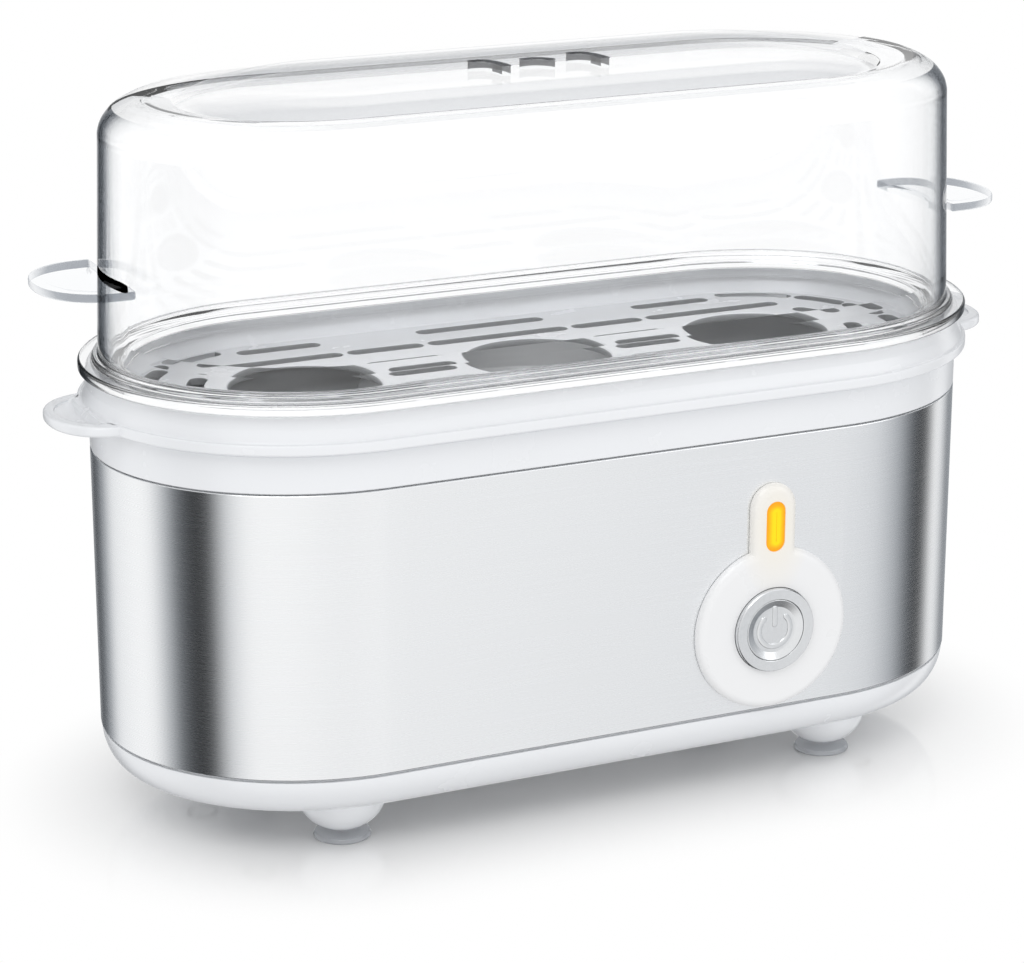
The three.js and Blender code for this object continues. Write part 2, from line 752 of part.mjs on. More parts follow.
// Egg tray: lip, flared wall, rim, floor with seats and drain slots, skirt and two scooped ears
function traySlots() {
  const shapes = [];
  for (const { along, across, halfLength } of slotShares) {
    const slot = capsule(halfLength * seatPitch, slotHalfWidth);
    for (const sideX of along === 0 ? [1] : [-1, 1]) {
      for (const sideY of across === 0 ? [1] : [-1, 1]) {
        shapes.push([slot, sideX * along * seatPitch, sideY * across * bodyHalfWidth, 0]);
      }
    }
  }
  const arcs = [
    ...outerArcAngles.map((angles) => [outerArcRadius, angles]),
    ...innerArcAngles.map((angles) => [innerArcRadius, angles]),
  ];
  for (const [radius, [from, to]] of arcs) {
    for (const [turn, first, last] of [[0, from, to], [0, -to, -from], [180, from, to], [180, -to, -from]]) {
      shapes.push([arcSlot(radius, slotHalfWidth, first, last), turn ? -seatPitch : seatPitch, 0, turn]);
    }
  }
  return shapes.map(([shape, x, y, turn]) => (
    plate(shape, trayFloorBottomZ - trayFloor, trayFloorTopZ + trayFloor)
      .rotate([0, 0, turn])
      .translate([x, y, 0])));
}

function earScoop() {
  const outline = (shrink) => {
    const reach = earReach - scoopBorder - shrink;
    const end = tongueEnd(earCentreX, reach, earHalfWidth - scoopSideBorder - shrink)
      .filter((point) => point.x > scoopInnerX + shrink);
    const inner = (y) => new THREE.Vector2(scoopInnerX + shrink, y);
    return new THREE.Shape([inner(end[0].y), ...end, inner(end.at(-1).y)]);
  };
  const bottomZ = trayFloorTopZ - scoopDepth;
  const wide = plate(outline(0), bottomZ + scoopDepth / 2, trayFloorTopZ + mouldedWall);
  return wide.add(plate(outline(scoopSlope), bottomZ, trayFloorTopZ));
}

function eggTray() {
  const shell = skin([
    bodyRing(trayFloorInset + mouldedWall, trayFloorBottomZ),
    bodyRing(traySkirtInset + traySkirtWall, trayFloorBottomZ),
    bodyRing(traySkirtInset + traySkirtWall, trayLipBottomZ - traySkirtDepth),
    bodyRing(traySkirtInset, trayLipBottomZ - traySkirtDepth),
    bodyRing(traySkirtInset, trayLipBottomZ),
    bodyRing(trayEdge - trayLipOverhang, trayLipBottomZ),
    bodyRing(-trayLipOverhang, trayLipBottomZ + trayEdge),
    bodyRing(-trayLipOverhang, trayFloorTopZ - trayEdge),
    bodyRing(trayEdge - trayLipOverhang, trayFloorTopZ),
    bodyRing(-trayWallFoot, trayFloorTopZ),
    bodyRing(-trayWallFoot / 3, trayFloorTopZ + (trayRimZ - trayFloorTopZ) / 2),
    bodyRing(0, trayRimZ - 2 * trayEdge),
    bodyRing(trayEdge, trayRimZ),
    bodyRing(trayRimInset - trayEdge, trayRimZ),
    bodyRing(trayRimInset, trayRimZ - trayEdge),
    bodyRing(trayFloorInset - trayEdge, trayFloorTopZ + 2 * trayEdge),
    bodyRing(trayFloorInset + trayEdge, trayFloorTopZ),
  ]);
  const earShape = tongue(earCentreX, earReach, earHalfWidth, earCentreX - earReach);
  const earBlank = plate(earShape, trayLipBottomZ, trayFloorTopZ);
  const ear = earBlank.subtract(bodyPrism(0, trayLipBottomZ - mouldedWall, trayRimZ)).subtract(earScoop());
  const seat = turned([
    [0, trayFloorBottomZ - trayFloor],
    [seatRadius - seatBevel, trayFloorBottomZ - trayFloor],
    [seatRadius - seatBevel, trayFloorTopZ - seatBevel],
    [seatRadius + seatBevel / 2, trayFloorTopZ + trayEdge],
    [0, trayFloorTopZ + trayEdge],
  ], turnSegments);
  const cuts = [-1, 0, 1].map((place) => seat.translate([place * seatPitch, 0, 0])).concat(traySlots());
  return cuts.reduce((left, cut) => left.subtract(cut), shell.add(mirroredInX(ear)));
}

// Lid: thin shell with a flange, drafted wall, rounded shoulder, raised vented panel and two finger grips
function lidShell() {
  const shoulder = (shares, drop, inset) => shares.map(([across, up]) => (
    bodyRing(lidWallTopInset + inset + across * shoulderInset, lidWallTopZ - drop + up * shoulderDrop)));
  const panel = (shares, drop) => shares.map(([share, rise]) => endedRing(
    share * bodyStraight, share * panelEndReach, share * panelHalfWidth, panelBaseZ - drop + rise * panelRise,
  ));
  const everyOther = (shares) => shares.filter((row, place) => place % 2 === 0).reverse();
  const flangeTopZ = lidBottomZ + lidFlangeThickness;
  const wallFootZ = flangeTopZ + lidWallFootHeight;
  return skin([
    ...panel(everyOther(panelShares), lidWall),
    ...shoulder(everyOther(shoulderShares), lidWall, lidWall / 3),
    bodyRing(lidWallTopInset + lidWall, lidWallTopZ - lidWall / 2),
    bodyRing(lidWallFootInset + lidWall, wallFootZ),
    bodyRing(lidWallFootInset + lidWall, flangeTopZ + lidStepHeight),
    bodyRing(lidLipInset + lidLipWall, flangeTopZ),
    bodyRing(lidLipInset + lidLipWall, lidBottomZ - lidLipDepth),
    bodyRing(lidLipInset, lidBottomZ - lidLipDepth),
    bodyRing(lidLipInset, lidBottomZ),
    bodyRing(trayEdge - lidFlangeOverhang, lidBottomZ),
    bodyRing(-lidFlangeOverhang, lidBottomZ + trayEdge),
    bodyRing(-lidFlangeOverhang, flangeTopZ - trayEdge),
    bodyRing(trayEdge - lidFlangeOverhang, flangeTopZ),
    bodyRing(lidStepInset, flangeTopZ),
    bodyRing(lidStepInset + trayEdge, flangeTopZ + lidStepHeight),
    bodyRing(lidWallFootInset, flangeTopZ + lidStepHeight),
    bodyRing(lidWallFootInset, wallFootZ),
    bodyRing(lidWallTopInset, lidWallTopZ),
    ...shoulder(shoulderShares, 0, 0),
    ...panel(panelShares, 0),
  ]);
}

function fingerGrip() {
  const lowZ = gripTopZ - gripThickness;
  const wallShare = (gripTopZ - lidBottomZ) / (lidWallTopZ - lidBottomZ);
  const wallInset = THREE.MathUtils.lerp(lidWallFootInset, lidWallTopInset, wallShare);
  const rootX = gripCentreX - gripReach;
  const blank = plate(tongue(gripCentreX, gripReach, gripHalfWidth, rootX), lowZ, gripTopZ);
  const recessShape = tongue(gripCentreX, gripReach - gripRim, gripHalfWidth - gripRim, rootX);
  const recess = plate(recessShape, lowZ + gripFloor, gripTopZ + mouldedWall)
    .subtract(bodyPrism(wallInset - gripWeb, lowZ, gripTopZ + 2 * mouldedWall));
  const inside = bodyPrism(wallInset + lidWall / 2, lowZ - mouldedWall, gripTopZ + mouldedWall);
  return blank.subtract(recess).subtract(inside);
}

function lidVents() {
  const vent = (shares, x) => {
    const bend = shares.map(([along, across]) => (
      new THREE.Vector2(x + along * ventPitch, across * ventPitch)));
    const curve = new THREE.QuadraticBezierCurve(...bend);
    return plate(band(curve, ventHalfWidth, 10), panelBaseZ - lidWall, panelBaseZ + 2 * panelRise);
  };
  return [vent(ventLongShares, -ventPitch), vent(ventShortShares, 0), vent(ventLongShares, ventPitch)];
}

function lid() {
  return lidVents().reduce((left, vent) => left.subtract(vent), lidShell().add(mirroredInX(fingerGrip())));
}

// Control: keyhole bezel, lens, ring and button
function keyholeRing(inset, y) {
  const radius = bezelRadius - inset;
  const stem = bezelStem - inset;
  const opening = Math.asin(stem / radius);
  const points = [];
  for (let step = 0; step <= turnSegments; step += 1) {
    const angle = Math.PI / 2 + opening + ((2 * Math.PI - 2 * opening) * step) / turnSegments;
    points.push([radius * Math.cos(angle), radius * Math.sin(angle)]);
  }
  for (let step = 0; step <= smallSegments; step += 1) {
    const angle = (Math.PI * step) / smallSegments;
    points.push([stem * Math.cos(angle), bezelStemRise + stem * Math.sin(angle)]);
  }
  return points.map(([x, z]) => new THREE.Vector3(controlX + x, y, controlZ + z));
}

function lensPrism(grow, backY, faceY) {
  const shape = capsule(lensHalfLength - lensHalfWidth, lensHalfWidth + grow, lensEndSteps);
  return frontPlate(shape, backY, faceY).rotate([0, 90, 0]).translate([controlX, 0, lensZ]);
}

function controlBezel() {
  const hub = new THREE.Vector3(controlX, 0, controlZ);
  const face = skin([
    keyholeRing(0, bezelBackY),
    keyholeRing(0, bezelFrontY + bezelDrop),
    keyholeRing(bezelSlope / 3, bezelFrontY + bezelDrop / 3),
    keyholeRing(bezelSlope, bezelFrontY),
  ], { hub });
  const embed = (bezelBackY + bezelFrontY) / 2;
  const collar = discAlongY(ringRadius + fitGap + collarWall, embed, bezelBackY + collarDepth, turnSegments);
  const boreEndY = bezelBackY + 2 * collarDepth;
  const bore = discAlongY(ringRadius + fitGap, bezelFrontY - mouldedWall, boreEndY, turnSegments);
  const pilot = discAlongY(smallScrewRadius + fitGap, bezelBackY, bossEndY + mouldedWall);
  const boss = discAlongY(bossRadius, embed, bossEndY).subtract(pilot);
  const bosses = bossCentres().map((x) => boss.translate([x, 0, controlZ]));
  const place = [controlX, 0, controlZ];
  const whole = bosses.reduce((sum, part) => sum.add(part), face.add(collar.translate(place)));
  const lensOpening = lensPrism(fitGap, frontY + mouldedWall, frontY - 2 * mouldedWall);
  return whole.subtract(bore.translate(place)).subtract(lensOpening);
}

function indicatorLens() {
  return lensPrism(0, bezelFrontY - lensProud + lensDepth, bezelFrontY - lensProud);
}

function buttonRing() {
  const inner = ringRadius - ringWidth;
  const faceY = frontY - ringProud;
  const backY = bezelBackY + collarDepth;
  return turnedAlongY([
    [inner, backY],
    [ringRadius, backY],
    [ringRadius, faceY + ringBevel],
    [ringRadius - ringBevel, faceY],
    [ringRadius - 2 * ringBevel, faceY],
    [inner, faceY + ringDish],
    [inner, backY],
  ], turnSegments).translate([controlX, 0, controlZ]);
}

function powerButton() {
  const dish = [1, 0.7, 0.35, 0].map((share) => [
    share * buttonRadius, buttonFrontY + buttonDish * (1 - share ** 2),
  ]);
  const body = turnedAlongY([[0, buttonBackY], [buttonRadius, buttonBackY], ...dish], turnSegments);
  const symbolFaceY = buttonFrontY + buttonDish - symbolHeight;
  const symbolBackY = buttonFrontY + buttonLength / 2;
  const arcShape = arcSlot(symbolRadius, symbolHalfWidth, 135, 405, turnSegments / 2);
  const arc = frontPlate(arcShape, symbolBackY, symbolFaceY);
  const bar = frontPlate(capsule(symbolBar / 2 - symbolHalfWidth, symbolHalfWidth), symbolBackY, symbolFaceY)
    .rotate([0, 90, 0]).translate([0, 0, symbolBar / 2 + symbolHalfWidth]);
  return body.add(arc).add(bar).translate([controlX, 0, controlZ]);
}

function switchPlunger() {
  const startY = buttonBackY + fitGap;
  return discAlongY(plungerRadius, startY, startY + plungerLength).translate([controlX, 0, controlZ]);
}

function buttonSpring() {
  const startY = buttonBackY + fitGap + springWire;
  const endY = switchFrontY - fitGap - springWire;
  const points = [];
  const steps = springTurns * springSteps;
  for (let step = 0; step <= steps; step += 1) {
    const angle = (2 * Math.PI * step) / springSteps;
    points.push(new THREE.Vector3(
      springRadius * Math.cos(angle),
      THREE.MathUtils.lerp(startY, endY, step / steps),
      springRadius * Math.sin(angle),
    ));
  }
  const coil = tube(new THREE.CatmullRomCurve3(points), springWire, steps, leadSides);
  return coil.translate([controlX, 0, controlZ]);
}

// Bracket, board and switch behind the control
function controlBracket() {
  const sheet = block(
    controlX - bracketWidth / 2, controlX + bracketWidth / 2,
    bracketFrontY, bracketBackY,
    controlZ - bracketDrop, controlZ + bracketRise,
  );
  const standoffs = standoffCentres().map((x) => (
    discAlongY(standoffRadius, bracketBackY - bracketSheet / 2, standoffEndY)
      .subtract(discAlongY(smallScrewRadius + fitGap, bracketBackY, standoffEndY + mouldedWall))
      .translate([x, 0, standoffZ])));
  const through = (radius) => discAlongY(radius, bracketFrontY - mouldedWall, bracketBackY + mouldedWall);
  const holes = [
    through(springRadius + springWire + 2 * fitGap).translate([controlX, 0, controlZ]),
    through(lampRadius + 2 * fitGap).translate([controlX, 0, lensZ]),
    ...bossCentres().map((x) => through(smallScrewRadius + fitGap).translate([x, 0, controlZ])),
  ];
  const whole = standoffs.reduce((sum, standoff) => sum.add(standoff), sheet);
  return holes.reduce((left, hole) => left.subtract(hole), whole);
}

function standoffCentres() {
  return [controlX - standoffSpan / 2, controlX + standoffSpan / 2];
}

function bracketScrew(x) {
  const headEndY = bracketBackY + fitGap + smallScrewHeadHeight;
  const screw = turnedAlongY(smallScrewProfile(headEndY, -1, bezelBossDepth), tinySegments);
  return screw.translate([x, 0, controlZ]);
}

function controlBoard() {
  const sheet = block(
    controlX - boardWidth / 2, controlX + boardWidth / 2,
    boardFrontY, boardBackY,
    controlZ - boardDrop, controlZ + boardRise,
  );
  const hole = discAlongY(smallScrewRadius + fitGap, boardFrontY - mouldedWall, boardBackY + mouldedWall);
  return standoffCentres().reduce((left, x) => left.subtract(hole.translate([x, 0, standoffZ])), sheet);
}

function boardScrew(x) {
  const headEndY = boardBackY + fitGap + smallScrewHeadHeight;
  const screw = turnedAlongY(smallScrewProfile(headEndY, -1, bezelBossDepth), tinySegments);
  return screw.translate([x, 0, standoffZ]);
}

function switchBody() {
  const half = switchSide / 2;
  const body = block(
    controlX - half, controlX + half,
    switchFrontY, switchBackY,
    controlZ - half, controlZ + half,
  );
  const boreEndY = buttonBackY + fitGap + plungerLength + buttonTravel + fitGap;
  return body.subtract(discAlongY(plungerRadius + fitGap, switchFrontY - mouldedWall, boreEndY)
    .translate([controlX, 0, controlZ]));
}

function indicatorLamp() {
  const lensBackY = bezelFrontY - lensProud + lensDepth;
  const tipY = lensBackY + 2 * fitGap;
  return turnedAlongY([
    [0, tipY],
    [lampRadius / 2, tipY + lampRadius / 6],
    [lampRadius, tipY + lampRadius],
    [lampRadius, bracketFrontY],
    [lampRadius / 2, bracketBackY],
    [lampRadius / 2, boardFrontY - fitGap],
    [0, boardFrontY - fitGap],
  ], tinySegments).translate([controlX, 0, lensZ]);
}

// Mains entry: gland, cord clamp and terminals
function cordGland() {
  const outerY = -frontY + fitGap;
  const innerY = -frontY - casingSheet - fitGap;
  const faceY = -frontY + ringProud;
  return turnedAlongY([
    [glandBore, faceY - glandLength],
    [glandBody, faceY - glandLength],
    [glandBody, innerY - glandFlangeHeight],
    [glandFlange, innerY - glandFlangeHeight],
    [glandFlange, innerY],
    [glandBody, innerY],
    [glandBody, outerY],
    [glandFlange, outerY],
    [glandFlange - fitGap, faceY],
    [glandBore, faceY],
    [glandBore, faceY - glandLength],
  ], turnSegments / 2).translate([glandX, 0, glandZ]);
}

function cordClamp() {
  const bar = plate(capsule(clampSpan / 2, clampWidth / 2, lensEndSteps), clampTopZ, clampTopZ + clampHeight);
  return [-1, 1].reduce((left, side) => left.subtract(
    disc(smallScrewRadius + fitGap, clampTopZ - mouldedWall, clampTopZ + clampHeight + mouldedWall)
      .translate([(side * clampSpan) / 2, 0, 0]),
  ), bar).translate([glandX, clampY, 0]);
}

function clampScrew(side) {
  const headTopZ = clampTopZ + clampHeight + fitGap + smallScrewHeadHeight;
  return turned(smallScrewProfile(headTopZ, -1, clampHeight + bezelBossDepth), tinySegments)
    .translate([glandX + (side * clampSpan) / 2, clampY, 0]);
}

function terminalBlock() {
  const topZ = terminalBottomZ + terminalHeight;
  const body = block(
    terminalX - terminalLength / 2, terminalX + terminalLength / 2,
    terminalY - terminalWidth / 2, terminalY + terminalWidth / 2,
    terminalBottomZ, topZ,
  );
  return [-1, 0, 1].reduce((left, place) => left.subtract(
    disc(terminalPocket, topZ - terminalHeight / 2, topZ + mouldedWall)
      .translate([terminalX + place * terminalPitch, terminalY, 0]),
  ), body);
}

// Internal leads from terminal, board, pin, tab, blade or fuse end to the next
function lead(start, end, bendShares) {
  const first = start.at.clone().addScaledVector(start.out, leadStraight);
  const last = end.at.clone().addScaledVector(end.out, leadStraight);
  const bends = bendShares.map((shares) => (
    last.clone().sub(first).multiply(new THREE.Vector3(...shares)).add(first)));
  const path = new THREE.CatmullRomCurve3([start.at, first, ...bends, last, end.at]);
  return tube(path, leadRadius, leadSteps, leadSides);
}

function leadEnd(x, y, z, outX, outY, outZ) {
  const out = new THREE.Vector3(outX, outY, outZ);
  return { at: new THREE.Vector3(x, y, z).addScaledVector(out, fitGap), out };
}

function terminalEnd(place, side) {
  const z = terminalBottomZ + leadEntryRise;
  return leadEnd(terminalX + place * terminalPitch, terminalY + (side * terminalWidth) / 2, z, 0, side, 0);
}

function boardEnd(shift, rise) {
  return leadEnd(controlX - shift, boardBackY, controlZ + rise, 0, 1, 0);
}

function pinEnd(side) {
  return leadEnd(side * elementBend, elementLeg + pinLength - pinRadius, elementZ - pinRadius, 0, 0, -1);
}

function bladeEnd(side) {
  return leadEnd((side * bladeSpan) / 2, 0, bladeBottomZ, 0, 0, -1);
}

function tabEnd() {
  const endY = earthTabY - earthTabWidth / 2 + earthTabLength;
  return leadEnd(0, endY - earthLeadInset, heaterPartsZ - bladeSheet, 0, 0, -1);
}

function fuseEnd(side) {
  return leadEnd((side * fuseLength) / 2, fuseY, heaterPartsZ - fuseRadius, side, 0, 0);
}

// The whole object
const eggBoiler = new THREE.Group();
eggBoiler.name = 'egg_boiler';

function addPart(name, solid, material) {
  const mesh = new THREE.Mesh(toGeometry(solid), material);
  mesh.name = name;
  eggBoiler.add(mesh);
}

const cornerNames = ['left_front', 'left_back', 'right_front', 'right_back'];
const sideNames = ['left', 'right'];

addPart('base_pan', basePan(), whitePlastic);
atFourCorners(footX, footY, footPad).forEach((pad, corner) => {
  addPart(`foot_pad_${cornerNames[corner]}`, pad, clearRubber);
});
atFourCorners(postX, postY, baseScrew).forEach((screw, corner) => {
  addPart(`base_screw_${cornerNames[corner]}`, screw, zincSteel);
});
addPart('steel_casing', steelCasing(), brushedSteel);
addPart('top_housing', topHousing(), whitePlastic);
addPart('heating_bowl', heatingBowl(), aluminium);
addPart('bowl_seal', bowlSeal(), silicone);
addPart('heat_spreader', heatSpreader(), aluminium);
addPart('heating_element', heatingElement(), zincSteel);
addPart('thermostat', thermostat(), darkPlastic);
addPart('thermal_fuse', thermalFuse(), brass);
addPart('earth_tab', earthTab(), brass);
addPart('earth_screw', earthScrew(), zincSteel);
addPart('control_bezel', controlBezel(), whitePlastic);
addPart('indicator_lens', indicatorLens(), amber);
addPart('button_ring', buttonRing(), chrome);
addPart('control_bracket', controlBracket(), zincSteel);
bossCentres().forEach((x, side) => {
  addPart(`bracket_screw_${sideNames[side]}`, bracketScrew(x), zincSteel);
});
addPart('control_board', controlBoard(), boardGreen);
standoffCentres().forEach((x, side) => {
  addPart(`board_screw_${sideNames[side]}`, boardScrew(x), zincSteel);
});
addPart('switch_body', switchBody(), darkPlastic);
addPart('button_spring', buttonSpring(), zincSteel);
addPart('indicator_lamp', indicatorLamp(), amber);
addPart('cord_gland', cordGland(), whitePlastic);
addPart('cord_clamp', cordClamp(), whitePlastic);
[-1, 1].forEach((side, place) => {
  addPart(`clamp_screw_${sideNames[place]}`, clampScrew(side), zincSteel);
});
addPart('terminal_block', terminalBlock(), whitePlastic);
const liveEnd = boardEnd(liveLeadShift, -liveLeadDrop);
addPart('lead_live', lead(terminalEnd(1, -1), liveEnd, liveBendShares), brownLead);
addPart('lead_neutral', lead(terminalEnd(0, 1), pinEnd(-1), neutralBendShares), blueLead);
addPart('lead_earth', lead(terminalEnd(1, 1), tabEnd(), earthBendShares), earthLead);
const switchedStart = boardEnd(switchedLeadShift, switchedLeadRise);
addPart('lead_switched', lead(switchedStart, bladeEnd(1), switchedBendShares), brownLead);
addPart('lead_link', lead(bladeEnd(-1), fuseEnd(-1), linkBendShares), brownLead);
addPart('lead_fuse', lead(fuseEnd(1), pinEnd(1), fuseBendShares), brownLead);
addPart('power_button', powerButton(), chrome);
addPart('switch_plunger', switchPlunger(), darkPlastic);
addPart('egg_tray', eggTray(), whitePlastic);
addPart('lid', lid(), clearPlastic);

export default eggBoiler;
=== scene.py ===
import json
import math

import bmesh
import bpy
from mathutils import Matrix, Vector
from mathutils.geometry import delaunay_2d_cdt


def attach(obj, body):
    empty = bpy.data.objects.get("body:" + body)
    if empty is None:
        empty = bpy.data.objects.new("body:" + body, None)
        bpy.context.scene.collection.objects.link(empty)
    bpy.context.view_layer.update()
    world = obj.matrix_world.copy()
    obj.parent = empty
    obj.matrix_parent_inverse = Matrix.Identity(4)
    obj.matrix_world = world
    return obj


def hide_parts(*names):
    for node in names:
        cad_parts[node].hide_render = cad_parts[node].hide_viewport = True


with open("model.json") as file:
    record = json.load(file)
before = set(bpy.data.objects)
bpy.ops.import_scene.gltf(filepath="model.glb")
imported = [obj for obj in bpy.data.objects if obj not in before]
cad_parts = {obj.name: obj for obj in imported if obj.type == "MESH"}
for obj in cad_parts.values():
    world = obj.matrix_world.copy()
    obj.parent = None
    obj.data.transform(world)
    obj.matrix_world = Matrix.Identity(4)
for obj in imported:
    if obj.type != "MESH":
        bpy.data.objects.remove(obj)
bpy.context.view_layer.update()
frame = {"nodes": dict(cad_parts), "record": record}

MM = 0.001


def add_object(name, data):
    item = bpy.data.objects.new(name, data)
    bpy.context.scene.collection.objects.link(item)
    return item


# Camera at the photograph's viewing angle
CAMERA_PLACE = Vector((-0.277698, -0.585640, 0.261997))
CAMERA_AIM = Vector((-0.00548, 0, 0.06023))
camera_data = bpy.data.cameras.new("camera")
camera_data.lens = 113.66
camera_data.sensor_width = 36
camera_data.sensor_fit = "HORIZONTAL"
camera_data.clip_start = 0.01
camera = add_object("camera", camera_data)
camera.location = CAMERA_PLACE
camera.rotation_euler = (CAMERA_AIM - CAMERA_PLACE).to_track_quat("-Z", "Y").to_euler()
bpy.context.scene.camera = camera

# Sizes shared by the pieces, in millimetres
STRAIGHT = 101
END_REACH = 44.5
HALF_WIDTH = 41.2
BASE_BOTTOM = 9.4
BASE_TOP = 17.2
CASING_BOTTOM = 17.8
CASING_TOP = 76.2
HOUSING_BOTTOM = 76.5
HOUSING_TOP = 84.3
HOUSING_FLOOR = 78.2
TRAY_LIP_BOTTOM = 84.6
TRAY_FLOOR = 86.8
TRAY_UNDERSIDE = 85
TRAY_RIM = 92
LID_BOTTOM = 92.3
FLANGE_TOP = 94.4
WALL_TOP = 139.4
PANEL_BASE = 145
PANEL_TOP = 148.85
CONTROL_X = 33.5
CONTROL_Z = 35.7
LENS_RISE = 22
LENS_HALF_LENGTH = 3.17
BEZEL_BACK = -41.25
BEZEL_FACE = -43.2
RING_FACE = -44.3
LENS_FACE = -43.4
CONTROL_BACK = -37.5
POST_SPREAD = 14.2
FOOT_X = 55.5
SCREW_X = 70
SCREW_Y = 17
SCREW_HOLE = 1.6
GLAND_X = -36
GLAND_Z = 30


# Outlines
def unit(angle):
    return Vector((math.cos(angle), math.sin(angle)))


def quarter_turn(steps):
    """Evenly spaced angles from 0 to 90 degrees."""
    return [math.pi / 2 * k / steps for k in range(steps + 1)]


def ended_ring(straight, reach, half_width, z, end_steps=48, side_steps=24):
    """Plan ring at height z: two half ellipses joined by straight sides."""
    points = []
    for side in (1, -1):
        for step in range(end_steps + 1):
            angle = math.pi * (step / end_steps - side / 2)
            x = side * straight / 2 + reach * math.cos(angle)
            points.append(Vector((x, half_width * math.sin(angle), z)))
        for step in range(1, side_steps):
            x = side * straight * (0.5 - step / side_steps)
            points.append(Vector((x, side * half_width, z)))
    return points


def oval(inset, z):
    """Plan ring of the body, moved inward by inset."""
    return ended_ring(STRAIGHT, END_REACH - inset, HALF_WIDTH - inset, z)


def flat_circle(x, y, radius, steps=96):
    angles = [2 * math.pi * k / steps for k in range(steps)]
    return [Vector((x + radius * math.cos(a), y + radius * math.sin(a))) for a in angles]


def flat_capsule(x, y, half_length, half_width, steps=10, upright=False):
    points = []
    for side in (1, -1):
        for k in range(steps + 1):
            angle = math.pi * (k / steps - side / 2)
            along = side * half_length + half_width * math.cos(angle)
            points.append(Vector((along, half_width * math.sin(angle))))
    if upright:
        points = [Vector((-p.y, p.x)) for p in points]
    return [p + Vector((x, y)) for p in points]


def flat_arc_slot(x, y, radius, half_width, start, end, turn=0, steps=14, end_steps=10):
    """Slot bent round (x, y) from start to end, in degrees, with round ends."""
    a, b = math.radians(start + turn), math.radians(end + turn)
    points = [unit(a + (b - a) * k / steps) * (radius + half_width) for k in range(1, steps)]
    for k in range(end_steps + 1):
        points.append(radius * unit(b) + half_width * unit(b + math.pi * k / end_steps))
    points += [unit(b + (a - b) * k / steps) * (radius - half_width) for k in range(1, steps)]
    for k in range(end_steps + 1):
        points.append(radius * unit(a) + half_width * unit(a + math.pi + math.pi * k / end_steps))
    return [p + Vector((x, y)) for p in points]


def tongue_end(centre, reach, half_width, steps=48, power=0.909):
    """Rounded, slightly squared end of a tongue that points along X."""
    points = []
    for k in range(steps + 1):
        angle = math.pi * (k / steps - 0.5)
        across = abs(math.sin(angle)) ** power
        x = centre + reach * max(math.cos(angle), 0) ** power
        points.append(Vector((x, math.copysign(half_width * across, math.sin(angle)))))
    return points


def resample(points, count):
    """Evenly spaced points round a closed outline."""
    closed = points + [points[0]]
    lengths = [0]
    for a, b in zip(closed, closed[1:]):
        lengths.append(lengths[-1] + (b - a).length)
    result, place = [], 0
    for k in range(count):
        goal = lengths[-1] * k / count
        while lengths[place + 1] < goal:
            place += 1
        share = (goal - lengths[place]) / max(lengths[place + 1] - lengths[place], 1e-9)
        result.append(closed[place].lerp(closed[place + 1], share))
    return result


def softened(points, rounds):
    """Closed outline with its corners eased, a few rounds of averaging with the neighbours."""
    for _ in range(rounds):
        points = [(points[k - 1] + 2 * p + points[(k + 1) % len(points)]) / 4 for k, p in enumerate(points)]
    return points


def started_near(points, place):
    """Closed outline that starts at its point nearest to the place."""
    first = min(range(len(points)), key=lambda k: (points[k] - place).length)
    return points[first:] + points[:first]


def grown(points, amount):
    """Closed counter-clockwise outline moved outward by amount."""
    result = []
    for k, p in enumerate(points):
        along = (points[(k + 1) % len(points)] - points[k - 1]).normalized()
        result.append(p + amount * Vector((along.y, -along.x)))
    return result


def filleted(profile, closed=False, steps=5):
    """Profile rows (across, up, radius) with each corner rounded; returns rows (across, up)."""
    rows = []
    count = len(profile)
    for k, (u, v, radius) in enumerate(profile):
        here = Vector((u, v))
        if radius == 0 or (not closed and k in (0, count - 1)):
            rows.append(here)
            continue
        before = Vector(profile[k - 1][:2]) - here
        after = Vector(profile[(k + 1) % count][:2]) - here
        angle = before.angle(after)
        if angle > math.pi - 0.02:
            rows.append(here)
            continue
        cut = min(radius / math.tan(angle / 2), 0.49 * before.length, 0.49 * after.length)
        size = cut * math.tan(angle / 2)
        a, b = before.normalized(), after.normalized()
        centre = here + (a + b).normalized() * size / math.sin(angle / 2)
        start, end = here + a * cut - centre, here + b * cut - centre
        sweep = start.angle_signed(end)
        for step in range(steps + 1):
            rows.append(centre + Matrix.Rotation(-sweep * step / steps, 2) @ start)
    return rows


# Mesh builders: each adds faces to a bmesh, in millimetres
def add_loft(bm, rings, closed=False):
    made = [[bm.verts.new(p) for p in ring] for ring in rings]
    count = len(rings[0])
    for a, b in zip(made, made[1:] + ([made[0]] if closed else [])):
        for k in range(count):
            n = (k + 1) % count
            bm.faces.new((a[k], a[n], b[n], b[k]))
    return made


def add_fan(bm, ring):
    hub = bm.verts.new(sum(ring, Vector()) / len(ring))
    made = [bm.verts.new(p) for p in ring]
    for k, v in enumerate(made):
        bm.faces.new((v, made[(k + 1) % len(made)], hub))


def inside(point, loop):
    hit = False
    for a, b in zip(loop, loop[1:] + loop[:1]):
        if (a.y > point.y) != (b.y > point.y):
            if point.x < (b.x - a.x) * (point.y - a.y) / (b.y - a.y) + a.x:
                hit = not hit
    return hit


